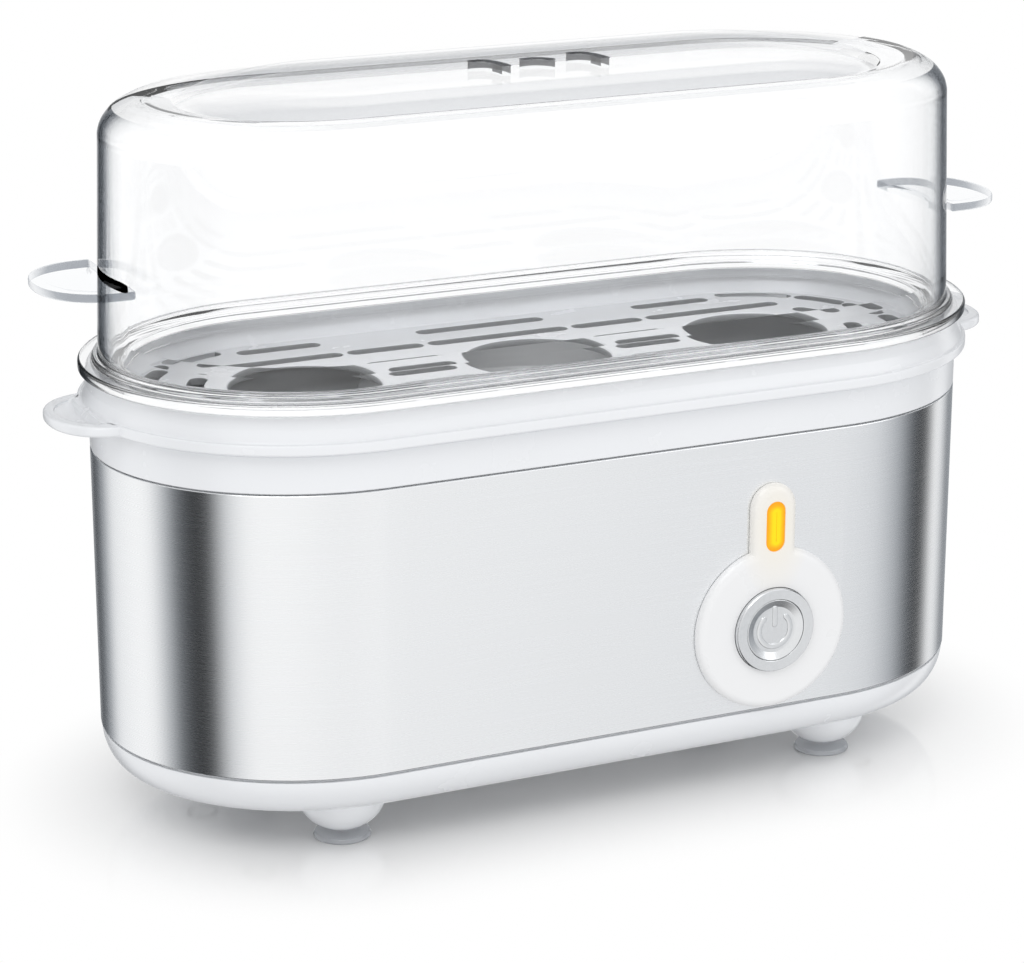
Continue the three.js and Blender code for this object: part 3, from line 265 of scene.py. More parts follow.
def add_flat(bm, outer, holes, place):
    """Flat face inside outer and outside the holes; place turns a flat point into a 3-D one."""
    points, edges = [], []
    for loop in [outer] + holes:
        start = len(points)
        points += loop
        edges += [(start + k, start + (k + 1) % len(loop)) for k in range(len(loop))]
    verts, _, faces, *_ = delaunay_2d_cdt([p.to_2d() for p in points], edges, [], 0, 1e-6)
    boxes = []
    for hole in holes:
        xs, ys = [p.x for p in hole], [p.y for p in hole]
        boxes.append((min(xs), max(xs), min(ys), max(ys), hole))
    made = [bm.verts.new(place(p)) for p in verts]
    for face in faces:
        middle = sum((verts[k] for k in face), Vector((0, 0))) / len(face)
        near = [hole for x0, x1, y0, y1, hole in boxes if x0 < middle.x < x1 and y0 < middle.y < y1]
        if inside(middle, outer) and not any(inside(middle, hole) for hole in near):
            bm.faces.new([made[k] for k in face])


def add_level(bm, ring, holes):
    """Level flat face inside a level ring and outside the holes."""
    add_flat(bm, [p.to_2d() for p in ring], holes, lambda p: Vector((p.x, p.y, ring[0].z)))


def rim_rows(low, high, edge, steps=4):
    """Rows (inward, up) of an upright wall between low and high with both edges rounded."""
    angles = quarter_turn(steps)
    rows = [(edge * (1 - math.sin(angle)), low + edge * (1 - math.cos(angle))) for angle in angles]
    return rows + [(edge * (1 - math.cos(angle)), high - edge * (1 - math.sin(angle))) for angle in angles]


def add_hole(bm, loop, rows):
    """Wall of an upright hole, with rows (inward, up)."""
    add_loft(bm, [[Vector((p.x, p.y, z)) for p in grown(loop, inward)] for inward, z in reversed(rows)])


def on_side(side):
    """Place function of a tongue that stands out to the right (1) or to the left (-1)."""
    return lambda p, z: Vector((side * p.x, side * p.y, z))


def add_turned(bm, profile, x=0, y=0, z=0, along_y=False, segments=96, closed=False):
    """Surface turned about Z through (x, y), or about Y through (x, z)."""
    rings = []
    for radius, level in profile:
        ring = []
        for k in range(segments):
            angle = 2 * math.pi * k / segments
            u, v = radius * math.cos(angle), radius * math.sin(angle)
            ring.append(Vector((x + u, level, z + v)) if along_y else Vector((x + u, y + v, level + z)))
        rings.append(ring)
    add_loft(bm, rings, closed)


WELD = 0.0005


def shade_smooth(piece):
    """Smooth shading that keeps the true edges and lets the large faces stay flat."""
    mesh = piece.data
    mesh.polygons.foreach_set("use_smooth", [True] * len(mesh.polygons))
    mesh.set_sharp_from_angle(angle=math.radians(38))
    shade = piece.modifiers.new("shade", "WEIGHTED_NORMAL")
    shade.mode = "FACE_AREA"
    shade.weight = 80
    shade.keep_sharp = True


def linked_object(name, bm):
    """Object in metres made from a bmesh in millimetres."""
    bmesh.ops.recalc_face_normals(bm, faces=bm.faces)
    bmesh.ops.scale(bm, vec=(MM, MM, MM), verts=bm.verts)
    mesh = bpy.data.meshes.new(name)
    bm.to_mesh(mesh)
    bm.free()
    return add_object(name, mesh)


def finish_piece(name, bm, body, material, nodes):
    bmesh.ops.remove_doubles(bm, verts=bm.verts, dist=WELD)
    bmesh.ops.dissolve_degenerate(bm, dist=WELD / 2, edges=bm.edges)
    piece = linked_object(name, bm)
    piece.data.materials.append(material)
    shade_smooth(piece)
    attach(piece, body)
    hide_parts(*nodes)
    return piece


def loose_solid(name, bm):
    bmesh.ops.remove_doubles(bm, verts=bm.verts, dist=WELD)
    return linked_object(name, bm)


def plug(x, z, radius, low_y, high_y, segments=96):
    """Solid cylinder along Y, for cutting."""
    bm = bmesh.new()
    circle = flat_circle(x, z, radius, segments)
    rings = [[Vector((p.x, level, p.y)) for p in circle] for level in (low_y, high_y)]
    add_loft(bm, rings)
    for ring in rings:
        add_fan(bm, ring)
    return loose_solid("plug", bm)


def combine(piece, tools, operation):
    """Applies exact booleans of the tool meshes to the piece's mesh."""
    for tool in tools:
        step = piece.modifiers.new("step", "BOOLEAN")
        step.operation = operation
        step.solver = "EXACT"
        step.object = tool
    piece.modifiers.remove(piece.modifiers["shade"])
    bpy.context.view_layer.update()
    depsgraph = bpy.context.evaluated_depsgraph_get()
    mesh = bpy.data.meshes.new_from_object(piece.evaluated_get(depsgraph))
    piece.modifiers.clear()
    old = piece.data
    piece.data = mesh
    mesh.name = old.name
    bpy.data.meshes.remove(old)
    for tool in tools:
        data = tool.data
        bpy.data.objects.remove(tool)
        bpy.data.meshes.remove(data)
    shade_smooth(piece)


# Node helpers
def fill(tree, node, inputs):
    """Fills inputs of a node, given by name or number, with links or plain values."""
    for key, value in inputs.items():
        if isinstance(value, bpy.types.NodeSocket):
            tree.links.new(value, node.inputs[key])
        else:
            node.inputs[key].default_value = value
    return node


def new_node(tree, kind, inputs):
    return fill(tree, tree.nodes.new("ShaderNode" + kind), inputs)


def new_material(name):
    material = bpy.data.materials.new(name)
    material.use_nodes = True
    tree = material.node_tree
    return material, tree, tree.nodes["Principled BSDF"]


def texture_place(tree, source="Object"):
    return tree.nodes.new("ShaderNodeTexCoord").outputs[source]


def noise(tree, stretch, detail=3, roughness=0.5, source="Object"):
    """Noise whose fineness along each axis is the stretch."""
    scaled = new_node(tree, "Mapping", {"Vector": texture_place(tree, source), "Scale": stretch})
    inputs = {"Vector": scaled.outputs["Vector"], "Scale": 1, "Detail": detail, "Roughness": roughness}
    return new_node(tree, "TexNoise", inputs).outputs["Fac"]


def mapped(tree, value, low, high, start=0.3, end=0.7, smooth=False):
    remap = tree.nodes.new("ShaderNodeMapRange")
    if smooth:
        remap.interpolation_type = "SMOOTHSTEP"
    fill(tree, remap, {"Value": value, "From Min": start, "From Max": end, "To Min": low, "To Max": high})
    return remap.outputs["Result"]


def tinted(tree, value, rows):
    """Colour ramp with rows (place, colour)."""
    ramp = tree.nodes.new("ShaderNodeValToRGB")
    while len(ramp.color_ramp.elements) < len(rows):
        ramp.color_ramp.elements.new(0.5)
    for element, (place, colour) in zip(ramp.color_ramp.elements, rows):
        element.position = place
        element.color = (*colour, 1)
    return fill(tree, ramp, {"Fac": value}).outputs["Color"]


def bumped(tree, height, strength, distance):
    inputs = {"Height": height, "Strength": strength, "Distance": distance}
    return new_node(tree, "Bump", inputs).outputs["Normal"]


def computed(tree, operation, *values, vector=False):
    """Result of a math node; each value may be a socket or plain."""
    node = tree.nodes.new("ShaderNodeVectorMath" if vector else "ShaderNodeMath")
    node.operation = operation
    fill(tree, node, dict(enumerate(values)))
    return node.outputs["Vector" if vector and operation != "LENGTH" else "Value"]


def blended(tree, factor, first, second, mode="MIX"):
    """Mix of two colours; each may be a socket or plain."""
    blend = tree.nodes.new("ShaderNodeMix")
    blend.data_type = "RGBA"
    blend.blend_type = mode
    return fill(tree, blend, {"Factor": factor, "A": first, "B": second}).outputs["Result"]


def mixed_shader(tree, factor, first, second):
    return new_node(tree, "MixShader", {0: factor, 1: first, 2: second}).outputs["Shader"]


# Materials
def moulded(name, colour, roughness, spread=0.04, grain=900, strength=0.05, coat=0.0):
    """Moulded plastic or rubber: faint flow marks, uneven gloss and a very fine grain."""
    material, tree, shader = new_material(name)
    darker = tuple(c * (1 - spread) for c in colour)
    fill(tree, shader, {
        "Base Color": tinted(tree, noise(tree, (22, 22, 40)), [(0.3, darker), (0.7, colour)]),
        "Roughness": mapped(tree, noise(tree, (90, 90, 90), 4), roughness * 0.85, roughness * 1.2),
        "Normal": bumped(tree, noise(tree, (grain, grain, grain), 2), strength, 0.0001),
        "Coat Weight": coat,
        "Coat Roughness": 0.08,
    })
    return material


def metal(name, colour, roughness, stretch, strength=0.1, spread=0.08, uneven=0.2, source="Object"):
    """Metal with scratches stretched one way, and roughness that follows them."""
    material, tree, shader = new_material(name)
    lines = noise(tree, stretch, 4, 0.6, source)
    cloud = noise(tree, (30, 30, 30), 2)
    worn = computed(tree, "MULTIPLY_ADD", lines, 0.8, computed(tree, "MULTIPLY", cloud, 0.2))
    darker = tuple(c * (1 - spread) for c in colour)
    fill(tree, shader, {
        "Metallic": 1,
        "Base Color": tinted(tree, worn, [(0.3, darker), (0.7, colour)]),
        "Roughness": mapped(tree, lines, roughness * (1 - uneven), roughness * (1 + uneven)),
        "Normal": bumped(tree, lines, strength, 0.00005),
    })
    return material


def paint_lens_glow(tree):
    """Paints the glow of the lit lens onto the plastic round it, as a warm tint."""
    shader = tree.nodes["Principled BSDF"]
    lens = (CONTROL_X * MM, 0, (CONTROL_Z + LENS_RISE) * MM)
    offset = computed(tree, "SUBTRACT", texture_place(tree), lens, vector=True)
    squeezed = computed(tree, "MULTIPLY", offset, (1, 0, 0.55), vector=True)
    distance = computed(tree, "LENGTH", squeezed, vector=True)
    painted_glow = mapped(tree, distance, 1, 0, 0.0024, 0.0085)
    plain = shader.inputs["Base Color"].links[0].from_socket
    fill(tree, shader, {"Base Color": blended(tree, painted_glow, plain, (1.03, 0.98, 0.88, 1), "MULTIPLY")})


white = moulded("white_moulding", (0.84, 0.855, 0.88), 0.24, spread=0.02, coat=0.25)
# The bezel's white carries a painted glow round the lens
white_with_painted_glow = moulded("bezel_moulding", (0.86, 0.865, 0.875), 0.3, spread=0.01, coat=0.1)
paint_lens_glow(white_with_painted_glow.node_tree)
# Dark grey that paints shade into hollows where little light gets in; the plastic there is the same white
shaded = moulded("painted_shade_moulding", (0.3, 0.31, 0.32), 0.45, spread=0.06)
clear_pad = moulded("clear_pad", (0.4, 0.42, 0.45), 0.1, spread=0.08, strength=0.04)
tree = clear_pad.node_tree
fill(tree, tree.nodes["Principled BSDF"], {"Transmission Weight": 0.45, "IOR": 1.42})
dark = moulded("dark_moulding", (0.06, 0.065, 0.07), 0.5, spread=0.2, strength=0.2)
silicone = moulded("silicone", (0.75, 0.76, 0.78), 0.6, spread=0.05, strength=0.15)
board = moulded("circuit_board", (0.08, 0.26, 0.14), 0.4, spread=0.25, grain=500, strength=0.2)
brown = moulded("brown_sleeve", (0.2, 0.09, 0.04), 0.45, spread=0.15, strength=0.15)
blue = moulded("blue_sleeve", (0.06, 0.2, 0.5), 0.45, spread=0.15, strength=0.15)
green = moulded("earth_sleeve", (0.35, 0.6, 0.12), 0.45, spread=0.3, strength=0.15)
bowl_metal = metal("bowl_metal", (0.72, 0.73, 0.74), 0.38, (60, 60, 900))
plated = metal("plated_steel", (0.66, 0.67, 0.68), 0.35, (200, 200, 200), strength=0.08, spread=0.15)
brass = metal("brass", (0.7, 0.56, 0.3), 0.35, (200, 200, 200), strength=0.08, spread=0.15)
chrome = metal("satin_chrome", (0.82, 0.83, 0.84), 0.2, (1200, 60, 1200), strength=0.05, spread=0.05)

# Brushed casing: streaks run round the band, so the highlights spread upward
steel = metal(
    "brushed_casing", (0.93, 0.94, 0.95), 0.27, (22, 2200, 1),
    strength=0.02, spread=0.03, uneven=0.05, source="UV",
)
tree = steel.node_tree
tangent = tree.nodes.new("ShaderNodeTangent")
tangent.direction_type = "UV_MAP"
tangent.uv_map = "round_the_band"
fill(tree, tree.nodes["Principled BSDF"], {
    "Anisotropic": 0.75,
    "Anisotropic Rotation": 0.25,
    "Tangent": tangent.outputs["Tangent"],
})


# Clear lid: polished, with the faintest waviness of a moulding
def clear_plastic(name, ior, edge_rows, coat=0.0):
    """Clear plastic whose tint deepens where it is seen edge on."""
    material, tree, shader = new_material(name)
    waves = noise(tree, (25, 25, 12), 2)
    view = new_node(tree, "LayerWeight", {"Blend": 0.5})
    edge_on = computed(tree, "MULTIPLY_ADD", waves, 0.02, view.outputs["Facing"])
    fill(tree, shader, {
        "Base Color": tinted(tree, edge_on, edge_rows),
        "Transmission Weight": 1,
        "IOR": ior,
        "Roughness": mapped(tree, waves, 0, 0.02),
        "Normal": bumped(tree, waves, 0.01, 0.0002),
    })
    if coat:
        fill(tree, shader, {"Coat Weight": coat, "Coat Roughness": 0.01})
    return material


clear = clear_plastic("clear_moulding", 1.5, [(0, (0.995, 0.997, 1)), (1, (0.985, 0.99, 0.995))])
# The wall's tint goes near black where it is seen edge on: partly the deeper tint of plastic seen along its
# length, mostly painted dark bands of the surroundings seen through the edges
clear_wall = clear_plastic("clear_wall", 1.5, [
    (0, (0.995, 0.997, 1)), (0.45, (0.985, 0.99, 0.995)), (0.53, (0.93, 0.937, 0.945)),
    (0.6, (0.72, 0.735, 0.75)), (0.655, (0.4, 0.42, 0.44)), (0.705, (0.09, 0.1, 0.115)),
    (0.76, (0.014, 0.017, 0.021)), (0.9, (0.012, 0.014, 0.018)), (1, (0.15, 0.16, 0.18)),
])
# Thick, bent places would trap the light, so their plastic only tints and reflects; the tint paints grey
# shade where they are seen face on and edge on, and stays white between
clear_top = clear_plastic("clear_top", 1, [
    (0, (0.8, 0.81, 0.825)), (0.45, (0.72, 0.73, 0.745)), (0.62, (0.7, 0.71, 0.725)), (0.73, (1, 1, 1)),
    (0.9, (0.99, 0.993, 0.996)), (0.97, (0.95, 0.96, 0.97)), (1, (0.75, 0.77, 0.79)),
], coat=0.4)
# The grips' tint paints dark grey shade where they are seen face on, and paler grey nearer edge on
clear_grip = clear_plastic("clear_grip", 1, [
    (0, (0.14, 0.155, 0.18)), (0.3, (0.2, 0.22, 0.25)), (0.55, (0.6, 0.62, 0.65)),
    (0.7, (0.8, 0.81, 0.83)), (1, (0.5, 0.53, 0.57)),
], coat=0.4)
# Near-black plastic that paints shade on the upper walls of the vents
vent_painted_shade = clear_plastic("vent_painted_shade", 1, [(0, (0.025, 0.026, 0.028)), (1, (0.02, 0.021, 0.023))], coat=0.4)
vent_wall = clear_plastic("vent_wall", 1, [(0, (0.97, 0.975, 0.98)), (1, (0.9, 0.91, 0.92))])

# Amber lens, lit from behind, brightest along its middle
amber, tree, shader = new_material("amber_lens")
split = new_node(tree, "SeparateXYZ", {0: texture_place(tree, "UV")})
core = mapped(tree, split.outputs["X"], 0, 1, 0, 1, smooth=True)
wobble = computed(tree, "MULTIPLY_ADD", noise(tree, (900, 900, 900)), 0.12, core)
amber_rows = [(0.04, (0.9, 0.36, 0.01)), (0.22, (0.98, 0.55, 0.006)), (0.5, (1, 0.78, 0.004))]
fill(tree, shader, {
    "Base Color": (0.2, 0.07, 0.002, 1),
    "Specular IOR Level": 0.25,
    "Roughness": 0.15,
    "Emission Color": tinted(tree, wobble, amber_rows),
    "Emission Strength": 0.9,
})

# The solids that show as they are take the material of their slot
SLOT_MATERIALS = {
    "white_plastic": white, "brushed_steel": plated, "clear_plastic": clear, "clear_pad": clear_pad,
    "chrome": chrome, "amber_lens": amber, "bowl_metal": bowl_metal, "plated_steel": plated, "brass": brass,
    "dark_plastic": dark, "silicone": silicone, "circuit_board": board, "brown_lead": brown,
    "blue_lead": blue, "earth_lead": green,
}
for part in frame["record"]["subparts"]:
    node = frame["nodes"].get(part.get("name") or part.get("node"))
    if node:
        for place in node.material_slots:
            place.material = SLOT_MATERIALS[part["material_slot"]]

# Base pan with curved edge, locating lip, feet, screw pockets and the posts of the cord clamp
BASE_INSET, BASE_TUCK = 0.2, 5.8
LIP_OUTER, LIP_INNER, LIP_TOP = 1, 3, BASE_TOP + 4.8
BASE_WALL = 2
POCKET_RADIUS, POCKET_TOP = 3.4, 11.2
BOSS_RADIUS, BOSS_TOP = 5.6, 12.9
INNER_END = 11
DOME_RADIUS, DOME_DROP, DOME_BOTTOM, DOME_Y = 9.1, 7.8, 1.62, 26.3
CLAMP_SPREAD, CLAMP_Y, CLAMP_TOP = 7.5, 27, 33.7
bm = bmesh.new()
profile = []
for angle in quarter_turn(24)[:-1]:
    inset = BASE_INSET + BASE_TUCK * (1 - math.sin(angle)) ** 1.15
    profile.append((inset, BASE_TOP - (BASE_TOP - BASE_BOTTOM) * math.cos(angle) ** 1.3, 0))
profile += [
    (BASE_INSET, BASE_TOP, 0.25), (LIP_OUTER, BASE_TOP, 0), (LIP_OUTER, LIP_TOP, 0.2),
    (LIP_INNER, LIP_TOP, 0.2), (LIP_INNER, BASE_TOP - BASE_WALL, 1.5), (8, BASE_BOTTOM + BASE_WALL, 1),
]
rings = [oval(u, v) for u, v in filleted(profile)]
add_loft(bm, rings)
screws = [Vector((side_x * SCREW_X, side_y * SCREW_Y)) for side_x in (-1, 1) for side_y in (-1, 1)]
under_holes = [flat_circle(p.x, p.y, POCKET_RADIUS, 40) for p in screws]
add_level(bm, rings[0], under_holes)
add_level(bm, rings[-1], [])
profile = [
    (POCKET_RADIUS, BASE_BOTTOM), (POCKET_RADIUS, POCKET_TOP), (SCREW_HOLE, POCKET_TOP),
    (SCREW_HOLE, BOSS_TOP), (BOSS_RADIUS - 0.2, BOSS_TOP), (BOSS_RADIUS, BOSS_TOP - 0.2),
    (BOSS_RADIUS, INNER_END),
]
for p in screws:
    add_turned(bm, profile, p.x, p.y, segments=40)
dome = [(0.01, DOME_BOTTOM)]
for step in range(21):
    height = DOME_BOTTOM + (INNER_END - DOME_BOTTOM) * step / 20
    reach = DOME_RADIUS * math.sqrt(max(1 - (max(BASE_BOTTOM - height, 0) / DOME_DROP) ** 2, 0))
    dome.append((reach, height))
for side_x in (-1, 1):
    for side_y in (-1, 1):
        add_turned(bm, dome, side_x * FOOT_X, side_y * DOME_Y)
for side in (-1, 1):
    profile = [(1.5, 25), (1.5, CLAMP_TOP), (2.7, CLAMP_TOP), (2.7, INNER_END)]
    add_turned(bm, profile, GLAND_X + side * CLAMP_SPREAD, CLAMP_Y, segments=32)
finish_piece("base_pan_moulding", bm, "base_body", white, ["base_pan"])

# Clear pads under the feet
PAD_Y = 26.5
profile = [
    (0.01, 0, 0), (5.7, 0, 0.15), (5.85, 0.3, 0.15), (5.5, 1.05, 0.3), (2.4, 1.4, 0.3), (2, 1.6, 0),
    (0.01, 1.6, 0),
]
for side_x, word_x in ((-1, "left"), (1, "right")):
    for side_y, word_y in ((-1, "front"), (1, "back")):
        bm = bmesh.new()
        add_turned(bm, filleted(profile), side_x * FOOT_X, side_y * PAD_Y)
        words = f"{word_x}_{word_y}"
        finish_piece(f"pad_{words}", bm, "base_body", clear_pad, [f"foot_pad_{words}"])

# Steel casing with holes for the control and the cord
CASING_WALL = 0.7
FRONT_CUT, BACK_CUT = (-44, -38), (38, 44)
CONTROL_HOLE, CORD_HOLE, POST_HOLE, LENS_HOLE = 11.8, 5.1, 2.9, 4
bm = bmesh.new()
profile = [
    (0, CASING_BOTTOM, 0.25), (0, CASING_TOP, 0.25),
    (CASING_WALL, CASING_TOP, 0.15), (CASING_WALL, CASING_BOTTOM, 0.15),
]
add_loft(bm, [oval(u, v) for u, v in filleted(profile, closed=True, steps=3)], closed=True)
casing = finish_piece("casing_band", bm, "base_body", steel, ["steel_casing"])
cutters = [plug(CONTROL_X, CONTROL_Z, CONTROL_HOLE, *FRONT_CUT), plug(GLAND_X, GLAND_Z, CORD_HOLE, *BACK_CUT)]
cutters += [plug(CONTROL_X + side * POST_SPREAD, CONTROL_Z, POST_HOLE, *FRONT_CUT, 32) for side in (-1, 1)]
cutters += [plug(CONTROL_X, CONTROL_Z + LENS_RISE, LENS_HOLE, *FRONT_CUT, 48)]
combine(casing, cutters, "DIFFERENCE")


def map_round_the_band(mesh):
    """Adds a map of the distance round the band and the height, for the brushing."""
    layer = mesh.uv_layers.new(name="round_the_band")
    half, reach = STRAIGHT / 2 * MM, END_REACH * MM
    for face in mesh.polygons:
        middle = face.center
        for corner in face.loop_indices:
            p = mesh.vertices[mesh.loops[corner].vertex_index].co
            if abs(middle.x) > half:
                along = half + reach * math.atan2(abs(p.x) - half, -p.y)
                along = math.copysign(along, middle.x)
            elif middle.y < 0:
                along = p.x
            else:
                along = 2 * half + math.pi * reach - p.x
            layer.data[corner].uv = (along, p.z)


map_round_the_band(casing.data)

# Top housing: outer ring, skirt in the casing, floor round the bowl and four posts
FLOOR_INSET, SKIRT_INSET, WALL_INSET = 7, 2.6, 2.4
SKIRT_BOTTOM = 72.2
FLOOR_UNDERSIDE = HOUSING_FLOOR - 2
BOWL_MOUTH = 33.2
bm = bmesh.new()
profile = [
    (FLOOR_INSET, FLOOR_UNDERSIDE, 0), (SKIRT_INSET, FLOOR_UNDERSIDE, 0.4), (SKIRT_INSET, SKIRT_BOTTOM, 0.3),
    (1, SKIRT_BOTTOM, 0.3), (1, HOUSING_BOTTOM, 0.1), (0, HOUSING_BOTTOM, 0.3), (0, HOUSING_TOP, 0.6),
    (WALL_INSET, HOUSING_TOP, 0.4), (WALL_INSET, HOUSING_FLOOR, 0.6), (FLOOR_INSET, HOUSING_FLOOR, 0),
]
rings = [oval(u, v) for u, v in filleted(profile)]
add_loft(bm, rings)
for ring in (rings[0], rings[-1]):
    add_level(bm, ring, [flat_circle(0, 0, BOWL_MOUTH)])
add_turned(bm, [(BOWL_MOUTH, FLOOR_UNDERSIDE), (BOWL_MOUTH, HOUSING_FLOOR)])
POST_RADIUS, POST_TOP, POST_FOOT, THREAD_TOP = 3.6, 77, 13.2, 26.2
profile = [(POST_RADIUS, POST_TOP), (POST_RADIUS, POST_FOOT), (SCREW_HOLE, POST_FOOT)]
profile += [(SCREW_HOLE, THREAD_TOP), (0.01, THREAD_TOP)]
for p in screws:
    add_turned(bm, profile, p.x, p.y, segments=40)
housing = finish_piece("top_housing_moulding", bm, "base_body", white, ["top_housing"])
# The upward faces inside the housing, mainly the floor round the bowl, get painted shade: the dark grey
# material
housing.data.materials.append(shaded)
for face in housing.data.polygons:
    if face.normal.z > 0.7 and face.center.z < (HOUSING_TOP - 0.8) * MM:
        face.material_index = 1

# Heating bowl
bm = bmesh.new()
profile = [
    (0.01, 70.5, 0), (27, 70.5, 2), (31.6, 74.5, 2), (32.6, 79.6, 0.6), (37, 79.6, 0.4), (37, 80.6, 0.4),
    (31.6, 80.6, 1), (30.6, 75.5, 2.5), (26.5, 71.5, 2.5), (14, 71.5, 1), (13, 71.9, 1), (12, 71.5, 1),
    (0.01, 71.5, 0),
]
add_turned(bm, filleted(profile), segments=128)
finish_piece("bowl_dish", bm, "base_body", bowl_metal, ["heating_bowl"])

# Egg tray: lip, flared wall, rim, and a floor with seats, straight slots and bent slots
SEAT_X, SEAT_RADIUS, SEAT_EDGE = 51.5, 15.3, 0.7
SLOT_HALF_WIDTH, SLOT_EDGE = 1.8, 0.3
STRAIGHT_SLOT_SHARES = (
    (0.5, 0, 0.107), (0.5, 0.218, 0.126), (0.5, 0.473, 0.126), (0, 0.473, 0.278),
    (0, 0.704, 0.252), (1, 0.473, 0.278), (0.893, 0.704, 0.146),
)
BENT_SLOTS = ((32, 4, 20), (32, 26, 42), (32, 50, 74), (22, 12, 34))
TRAY_FLOOR_INSET, TRAY_WALL_INSET, TRAY_FLARE = 8.2, 4.4, -2.2
TRAY_SKIRT_INSET, TRAY_SKIRT_END = 2.8, 82
slots = []
for along, across, half_length in STRAIGHT_SLOT_SHARES:
    for side_x in ([1] if along == 0 else [-1, 1]):
        for side_y in ([1] if across == 0 else [-1, 1]):
            x, y = side_x * along * SEAT_X, side_y * across * HALF_WIDTH
            slots.append(flat_capsule(x, y, half_length * SEAT_X, SLOT_HALF_WIDTH))
for radius, start, end in BENT_SLOTS:
    for turn, a, b in ((0, start, end), (0, -end, -start), (180, start, end), (180, -end, -start)):
        slots.append(flat_arc_slot(-SEAT_X if turn else SEAT_X, 0, radius, SLOT_HALF_WIDTH, a, b, turn))
seats = [flat_circle(x, 0, SEAT_RADIUS) for x in (-SEAT_X, 0, SEAT_X)]
bm = bmesh.new()
profile = [
    (TRAY_FLOOR_INSET, TRAY_FLOOR, 0), (7.2, TRAY_FLOOR, 0.7), (4.2, TRAY_RIM, 0.8), (0, TRAY_RIM, 0.9),
    (-0.45, 89.4, 1), (-1.34, TRAY_FLOOR, 0.6), (TRAY_FLARE, TRAY_FLOOR, 0.55),
    (TRAY_FLARE, TRAY_LIP_BOTTOM, 0.5),
    (TRAY_SKIRT_INSET, TRAY_LIP_BOTTOM, 0.3), (TRAY_SKIRT_INSET, TRAY_SKIRT_END, 0.3),
    (TRAY_WALL_INSET, TRAY_SKIRT_END, 0.3), (TRAY_WALL_INSET, TRAY_UNDERSIDE, 0.4),
    (TRAY_FLOOR_INSET, TRAY_UNDERSIDE, 0),
]
rings = [oval(u, v) for u, v in filleted(profile)]
add_loft(bm, rings)
holes = [(loop, SLOT_EDGE) for loop in slots] + [(loop, SEAT_EDGE) for loop in seats]
for loop, edge in holes:
    add_hole(bm, loop, rim_rows(TRAY_UNDERSIDE, TRAY_FLOOR, edge))
for ring in (rings[0], rings[-1]):
    add_level(bm, ring, [grown(loop, edge) for loop, edge in holes])

# Ears of the tray, each with a shallow scoop
EAR_ROOT, EAR_CENTRE, EAR_REACH, EAR_HALF_WIDTH, EAR_EDGE = 93.5, 92.5, 12.7, 13.7, 0.7
EAR_TOP = TRAY_FLOOR - 0.02
SCOOP_REACH, SCOOP_ROOT, SCOOP_START, SCOOP_MIDDLE = 10.6, 97.2, 97.4, 98.9
EAR_POINTS = 160
for side in (-1, 1):
    outline = tongue_end(EAR_CENTRE, EAR_REACH, EAR_HALF_WIDTH)
    outline = [Vector((EAR_ROOT, -EAR_HALF_WIDTH))] + outline + [Vector((EAR_ROOT, EAR_HALF_WIDTH))]
    outline = softened(resample(outline, EAR_POINTS), 2)
    outline = started_near(outline, Vector((EAR_ROOT, 0)))
    scoop = [p for p in tongue_end(EAR_CENTRE, SCOOP_REACH, SCOOP_REACH) if p.x > SCOOP_ROOT]
    scoop = softened(resample(scoop, EAR_POINTS), 12)
    scoop = started_near(scoop, Vector((SCOOP_START, 0)))
    place_ear = on_side(side)
    rows = rim_rows(TRAY_LIP_BOTTOM, EAR_TOP, EAR_EDGE)
    rings = [[place_ear(p, z) for p in grown(outline, -inward)] for inward, z in rows]
    top_edge = grown(outline, -EAR_EDGE)
    for share, drop in ((0.7, 0), (0.9, 0.08)):
        rings.append([place_ear(a.lerp(b, share), EAR_TOP - drop) for a, b in zip(top_edge, scoop)])
    deepest = Vector((SCOOP_MIDDLE, 0))
    for share in [k / 12 for k in range(12)]:
        depth = 0.45 + 0.95 * math.sin(math.pi / 2 * min(share * 1.25, 1)) ** 1.3
        rings.append([place_ear(p.lerp(deepest, share), EAR_TOP - depth) for p in scoop])
    add_loft(bm, rings)
    add_fan(bm, rings[-1])
    add_flat(bm, top_edge, [], lambda p: place_ear(p, TRAY_LIP_BOTTOM))
tray = finish_piece("egg_tray_moulding", bm, "tray_body", white, ["egg_tray"])

# The walls of the slots and seats get painted shade: the dark grey material
SHADE_STRAIGHT, SHADE_REACH, SHADE_HALF_WIDTH = 50.5, 36, 33
tray.data.materials.append(shaded)
for face in tray.data.polygons:
    x, y, z = face.center / MM
    if abs(face.normal.z) < 0.6 and z < TRAY_FLOOR and abs(y) < SHADE_HALF_WIDTH:
        if abs(x) < SHADE_STRAIGHT + SHADE_REACH * math.sqrt(1 - (y / SHADE_HALF_WIDTH) ** 2):
            face.material_index = 1

# Lid: clear shell with flange, step, drafted wall, rounded shoulder and raised panel
SHOULDER = [
    (0, 0), (0.06, 0.24), (0.18, 0.46), (0.36, 0.67), (0.6, 0.84), (0.78, 0.93), (0.92, 0.985), (1, 1),
]
PANEL = [
    (1, 0), (0.985, 0.09), (0.95, 0.38), (0.9, 0.64), (0.85, 0.82), (0.8, 0.92), (0.72, 0.98),
    (0.62, 1), (0.6, 1),
]
LID_WALL_INSET, SHOULDER_DEPTH, SHOULDER_RISE = 3.75, 7.25, 6.7
PANEL_REACH, PANEL_HALF_WIDTH = 26, 25.4
FLANGE_REACH, HOOK_OUTER, HOOK_INNER, HOOK_END = -1.84, 5.6, 7.1, 90.3
INNER_WALL, STEP_INSET, STEP_FOOT = 4.3, 2.3, 1.1
LID_THICKNESS = 2
VENT_BEND, VENT_EDGE, VENT_DARK = 11, 0.25, 1.7
SIDE_VENT_SHARES = ((-0.21, 0.28), (0.21, 0.47), (0.21, -0.43))
MIDDLE_VENT_SHARES = ((-0.25, 0.07), (0.08, 0.24), (0.25, -0.16))


